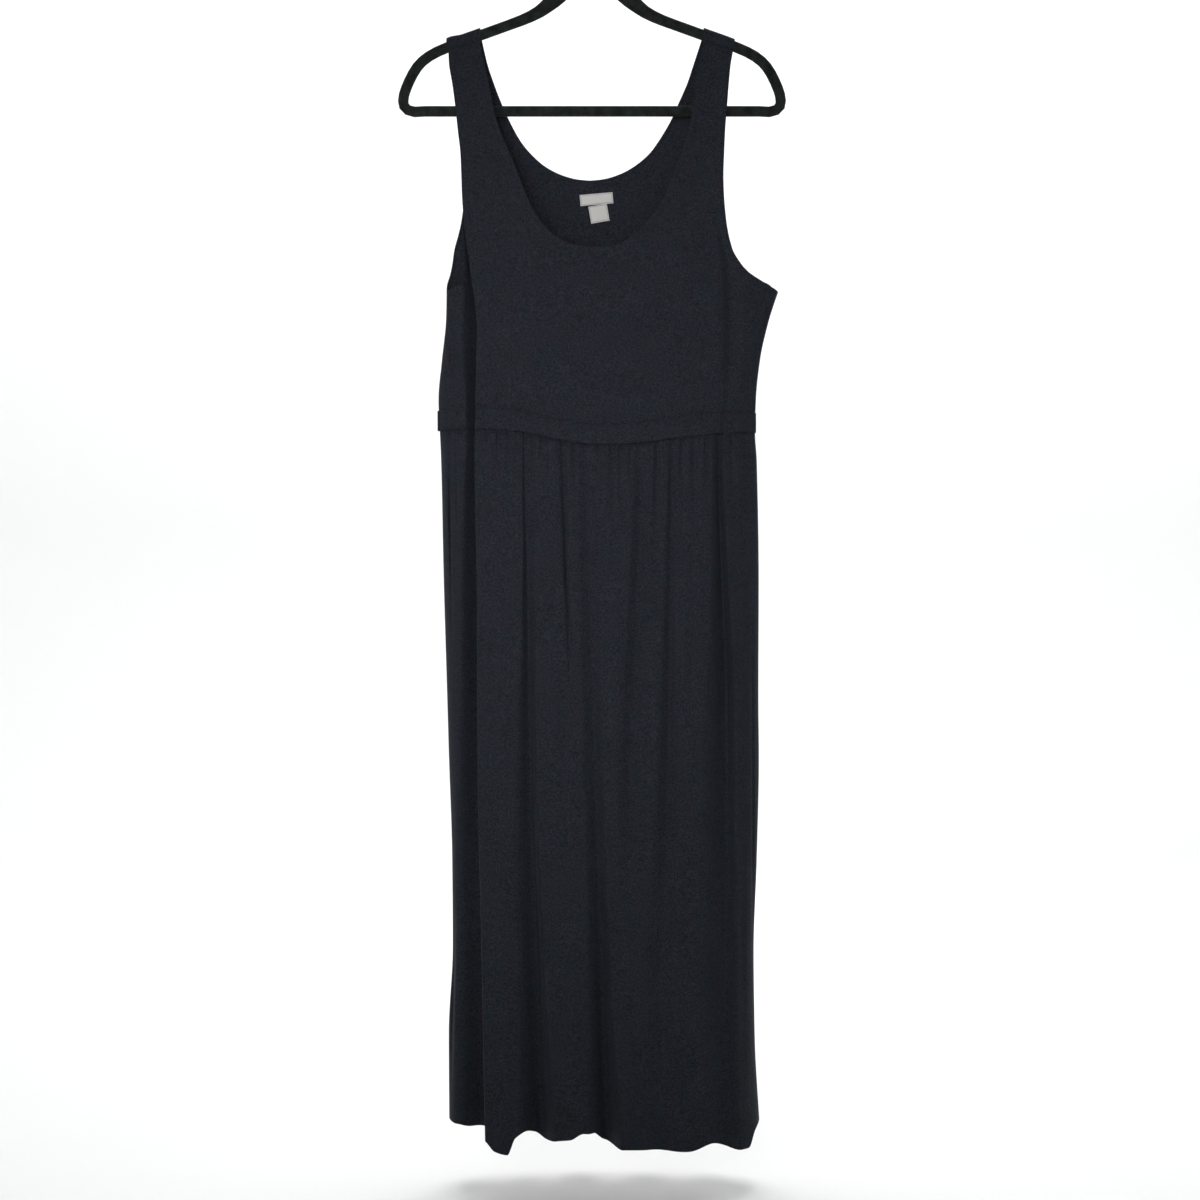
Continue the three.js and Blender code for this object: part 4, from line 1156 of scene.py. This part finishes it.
def jersey_finish(name, colour):
    """Fine jersey knit: rows of stitches, a melange of darker and lighter yarn, and a soft bloom."""
    material, tree, shader = new_finish(
        name,
        Specular_IOR_Level=0.14,
        Sheen_Weight=0.05,
        Sheen_Roughness=0.4,
        Sheen_Tint=(0.62, 0.68, 0.86, 1),
    )
    uv = node(tree, "ShaderNodeTexCoord", out="UV")
    u, v, _ = parts_of(tree, uv)
    place = node(tree, "ShaderNodeTexCoord", out="Object")
    wale = 0.9 * MM
    course = 0.75 * MM
    across = (u / wale) % 1
    slant = abs(across - 0.5) * 0.9
    loop = ((v / course + slant) * 2 * math.pi).math("SINE")
    rib = (across * math.pi).math("SINE")
    stitch = rib * (loop * 0.25 + 0.75)
    yarn = node(tree, "ShaderNodeTexNoise", None, uv, Scale=900, Detail=2, Roughness=0.6)
    melange = node(tree, "ShaderNodeTexNoise", None, place, Scale=480, Detail=2, Roughness=0.6)
    cloud = node(tree, "ShaderNodeTexNoise", None, place, Scale=34, Detail=3, Roughness=0.55)
    warm = node(tree, "ShaderNodeTexNoise", None, place, Scale=60, Detail=5, Roughness=0.75)
    tone = stitch * 0.2 + yarn * 1.2 + melange * 3 + cloud * 0.3 - 1.35
    tone = tone.math("MAXIMUM", 0.25)
    cool = (colour[0] * 0.86, colour[1] * 1.02, colour[2], 1)
    rosy = (colour[0] * 1.18, colour[1] * 0.96, colour[2] * 1.03, 1)
    colours = [(6, cool), (7, rosy)]
    hue = node(tree, "ShaderNodeMix", {"data_type": "RGBA"}, (warm - 0.4) * 5, at=colours, out=2)
    feed(tree, shade_of(tree, hue, tone), shader, "Base Color")
    feed(tree, 0.9 - melange * 0.12, shader, "Roughness")
    height = stitch * 0.7 + yarn * 0.5 + melange * 0.5
    bump = node(tree, "ShaderNodeBump", None, Strength=0.45, Distance=0.22 * MM, Height=height)
    feed(tree, bump, shader, "Normal")
    return material


# The label's ribbon: pitch of its weft and warp, and the inset and width of its border line
WEFT = 0.34
WARP = 0.5
BORDER_INSET = 1.1
BORDER_LINE = 0.5


def label_finish(name, width, height):
    """Off-white woven satin with a plain grey line woven inside its edges."""
    material, tree, shader = new_finish(name, Specular_IOR_Level=0.35, Sheen_Weight=0.1)
    place = node(tree, "ShaderNodeTexCoord", out="UV")
    u, v, _ = parts_of(tree, place)
    weft = ((v / (WEFT * MM)) * 2 * math.pi).math("SINE")
    warp = ((u / (WARP * MM)) * 2 * math.pi).math("SINE")
    weave = weft * 0.5 + warp * 0.3
    noise = node(tree, "ShaderNodeTexNoise", None, place, Scale=700, Detail=2)
    tone = 0.9 + weave * 0.04 + noise * 0.14
    half_width = width / 2 * MM
    half_height = height / 2 * MM
    from_side = half_width - abs(u - half_width)
    from_end = half_height - abs(v + half_height)
    inset = abs(from_side.math("MINIMUM", from_end) - BORDER_INSET * MM)
    border = inset.math("LESS_THAN", BORDER_LINE / 2 * MM)
    tone = tone * (1 - border * 0.55)
    feed(tree, shade_of(tree, RIBBON_WHITE, tone), shader, "Base Color")
    feed(tree, 0.6 + weave * 0.08, shader, "Roughness")
    bump = node(tree, "ShaderNodeBump", None, Strength=0.3, Distance=0.1 * MM, Height=weave)
    feed(tree, bump, shader, "Normal")
    return material


def flock_finish():
    """Short black flock: very matte, with a fine uneven nap."""
    material, tree, shader = new_finish(
        "black_flock",
        Specular_IOR_Level=0.1,
        Sheen_Weight=0.12,
        Sheen_Roughness=0.35,
        Sheen_Tint=(0.7, 0.78, 0.74, 1),
    )
    place = node(tree, "ShaderNodeTexCoord", out="Object")
    nap = node(tree, "ShaderNodeTexNoise", None, place, Scale=1500, Detail=3, Roughness=0.7)
    patches = node(tree, "ShaderNodeTexNoise", None, place, Scale=110, Detail=3, Roughness=0.6)
    tone = nap * 2.4 + patches * 2.6 - 1.5
    tone = tone.math("MAXIMUM", 0.3)
    feed(tree, shade_of(tree, FLOCK_BLACK, tone), shader, "Base Color")
    feed(tree, 0.98 - nap * 0.1, shader, "Roughness")
    bump = node(tree, "ShaderNodeBump", None, Strength=0.6, Distance=0.3 * MM, Height=nap + patches * 0.6)
    feed(tree, bump, shader, "Normal")
    return material


def steel_finish():
    """Plated wire, polished, a little unevenly rubbed."""
    material, tree, shader = new_finish("plated_steel", Metallic=1.0)
    place = node(tree, "ShaderNodeTexCoord", out="Object")
    rub = node(tree, "ShaderNodeTexNoise", None, place, Scale=160, Detail=4, Roughness=0.6)
    tone = 0.88 + rub * 0.2
    feed(tree, shade_of(tree, STEEL_GREY, tone), shader, "Base Color")
    feed(tree, 0.12 + rub * 0.14, shader, "Roughness")
    return material


def backdrop_finish():
    """Plain matt paper."""
    colour = (0.86, 0.86, 0.86, 1)
    return new_finish("pale_backdrop", Base_Color=colour, Roughness=1.0, Specular_IOR_Level=0.0)[0]


JERSEY = jersey_finish("blue_black_jersey", JERSEY_BLUE)
BAND_JERSEY = jersey_finish("waistband_jersey", BAND_BLUE)
FLOCK = flock_finish()
STEEL = steel_finish()


# The pieces of the dress


def make_front_bodice():
    left = half_bodice("left", FRONT_BODICE)
    right = half_bodice("right", FRONT_BODICE)
    patches = [left_strip(left, FRONT_BODICE), left, right]
    return cloth_shell("front_bodice_cloth", patches, JERSEY_WALL, JERSEY, "front_bodice")


def make_back_bodice():
    left = half_bodice("left", BACK_BODICE)
    right = half_bodice("right", BACK_BODICE)
    patches = [left[:, ::-1], right[:, ::-1]]
    return cloth_shell("back_bodice_cloth", patches, JERSEY_WALL, JERSEY, "back_bodice")


def make_band(name, node_name, facing, stand, top, bottom):
    """Half of the casing, between two of the waistband's lines."""
    rows = band_rows(facing, stand, band_line(top), band_line(bottom))
    rows = rows if facing < 0 else rows[:, ::-1]
    return cloth_shell(name, [rows], BAND_WALL, BAND_JERSEY, node_name)


def make_skirt(name, node_name, panel):
    rows = skirt_rows(panel)
    rows = rows if panel.facing < 0 else rows[:, ::-1]
    return cloth_shell(name, [rows], JERSEY_WALL, JERSEY, node_name, flat_map)


def make_label(node_name):
    label = LABELS[node_name]
    finish = label_finish(node_name + "_satin", label.width, label.height)
    rows = label_rows(label)
    return cloth_shell(node_name + "_cloth", [rows], LABEL_WALL, finish, node_name, flat_map)


front_bodice = make_front_bodice()
back_bodice = make_back_bodice()
front_band = make_band(
    "front_band_cloth", "front_waistband", -1, lambda x, z: front_stand(x, z, BODICE_FOLDS), "top", "bottom"
)
back_band = make_band(
    "back_band_cloth", "back_waistband", 1, lambda x, z: back_stand(x, z, []), "back_top", "back_bottom"
)
front_skirt = make_skirt("front_skirt_cloth", "front_skirt", FRONT_SKIRT)
back_skirt = make_skirt("back_skirt_cloth", "back_skirt", BACK_SKIRT)
neck_label = make_label("neck_label")
size_tab = make_label("size_tab")

for name, finish in (("hanger_body", FLOCK), ("hanger_hook", STEEL)):
    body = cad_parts[name]
    body.data.materials.clear()
    body.data.materials.append(finish)


# Studio

# The studio's own sizes, here and in its lights, are in metres
FLOOR_Z = cad_box[0].z - 0.05
BOWL_R = 3.4
COVE_R = 0.9
COVE_STEPS = 14
WALL_TOP = 4.4


def studio_bowl():
    """A round floor that curves up into a wall on every side."""
    deselect_all()
    flat_r = BOWL_R - COVE_R
    bpy.ops.mesh.primitive_circle_add(
        vertices=128, radius=flat_r, fill_type="TRIFAN", location=(0, 0, FLOOR_Z)
    )
    bowl = bpy.context.object
    bowl.name = "studio_bowl"
    bpy.ops.object.mode_set(mode="EDIT")
    bpy.ops.mesh.select_all(action="DESELECT")
    bpy.ops.mesh.select_mode(type="EDGE")
    bpy.ops.mesh.select_non_manifold()
    rims = []
    for i in range(1, COVE_STEPS + 1):
        angle = math.pi / 2 * i / COVE_STEPS
        rims.append((flat_r + COVE_R * math.sin(angle), COVE_R * (1 - math.cos(angle))))
    rims.append((BOWL_R, WALL_TOP))
    radius, height = flat_r, 0
    for next_radius, next_height in rims:
        bpy.ops.mesh.extrude_region_move(
            TRANSFORM_OT_translate={"value": (0, 0, next_height - height)}
        )
        scale = next_radius / radius
        bpy.ops.transform.resize(value=(scale, scale, 1), center_override=(0, 0, 0))
        radius, height = next_radius, next_height
    bpy.ops.mesh.select_all(action="SELECT")
    bpy.ops.mesh.normals_make_consistent(inside=True)
    bpy.ops.object.mode_set(mode="OBJECT")
    bpy.ops.object.shade_smooth()
    bowl.data.materials.append(backdrop_finish())


def soft_light(name, place, target, size, power, colour=(1, 1, 1)):
    """A round light at a place, turned to its target and hidden from the camera."""
    deselect_all()
    bpy.ops.object.light_add(type="AREA", location=place)
    light = bpy.context.object
    light.name = name
    light.data.shape = "DISK"
    light.data.size = size
    light.data.energy = power
    light.data.color = colour
    light.rotation_euler = (Vector(target) - Vector(place)).to_track_quat("-Z", "Y").to_euler()
    light.visible_camera = False
    return light


studio_bowl()
key = soft_light(
    "key",
    place=(-0.34, -1.25, -0.54),
    target=(-0.04, 0, -0.65),
    size=1.15,
    power=4.15,
    colour=(1, 0.98, 0.985),
)
key.data.spread = math.radians(73)
soft_light("wash", place=(0, 0.9, 2.3), target=(0, 3.0, -1.1), size=2.6, power=112)
soft_light("back", place=(0.9, 1.6, 0.1), target=(0, 0, -0.7), size=1.2, power=10)
soft_light("top", place=(0, 0, 2.6), target=(0, 0, -1), size=3.0, power=7)

world = bpy.data.worlds.new("soft_studio")
world.use_nodes = True
background = world.node_tree.nodes["Background"]
background.inputs["Color"].default_value = (0.88, 0.98, 1, 1)
background.inputs["Strength"].default_value = 0.1
bpy.context.scene.world = world
bpy.context.scene.view_settings.view_transform = "Standard"

# Camera at the photo's viewing angle: level and square to the front, near the dress's middle height
CAMERA_X = 9.2
CAMERA_Z = -785.7
CAMERA_DISTANCE = 1600
FRAME_WIDTH = 1376

deselect_all()
bpy.ops.object.camera_add(
    location=(CAMERA_X * MM, -CAMERA_DISTANCE * MM, CAMERA_Z * MM), rotation=(math.pi / 2, 0, 0)
)
camera = bpy.context.object
camera.data.sensor_width = 36
camera.data.lens = camera.data.sensor_width * CAMERA_DISTANCE / FRAME_WIDTH
bpy.context.scene.camera = camera
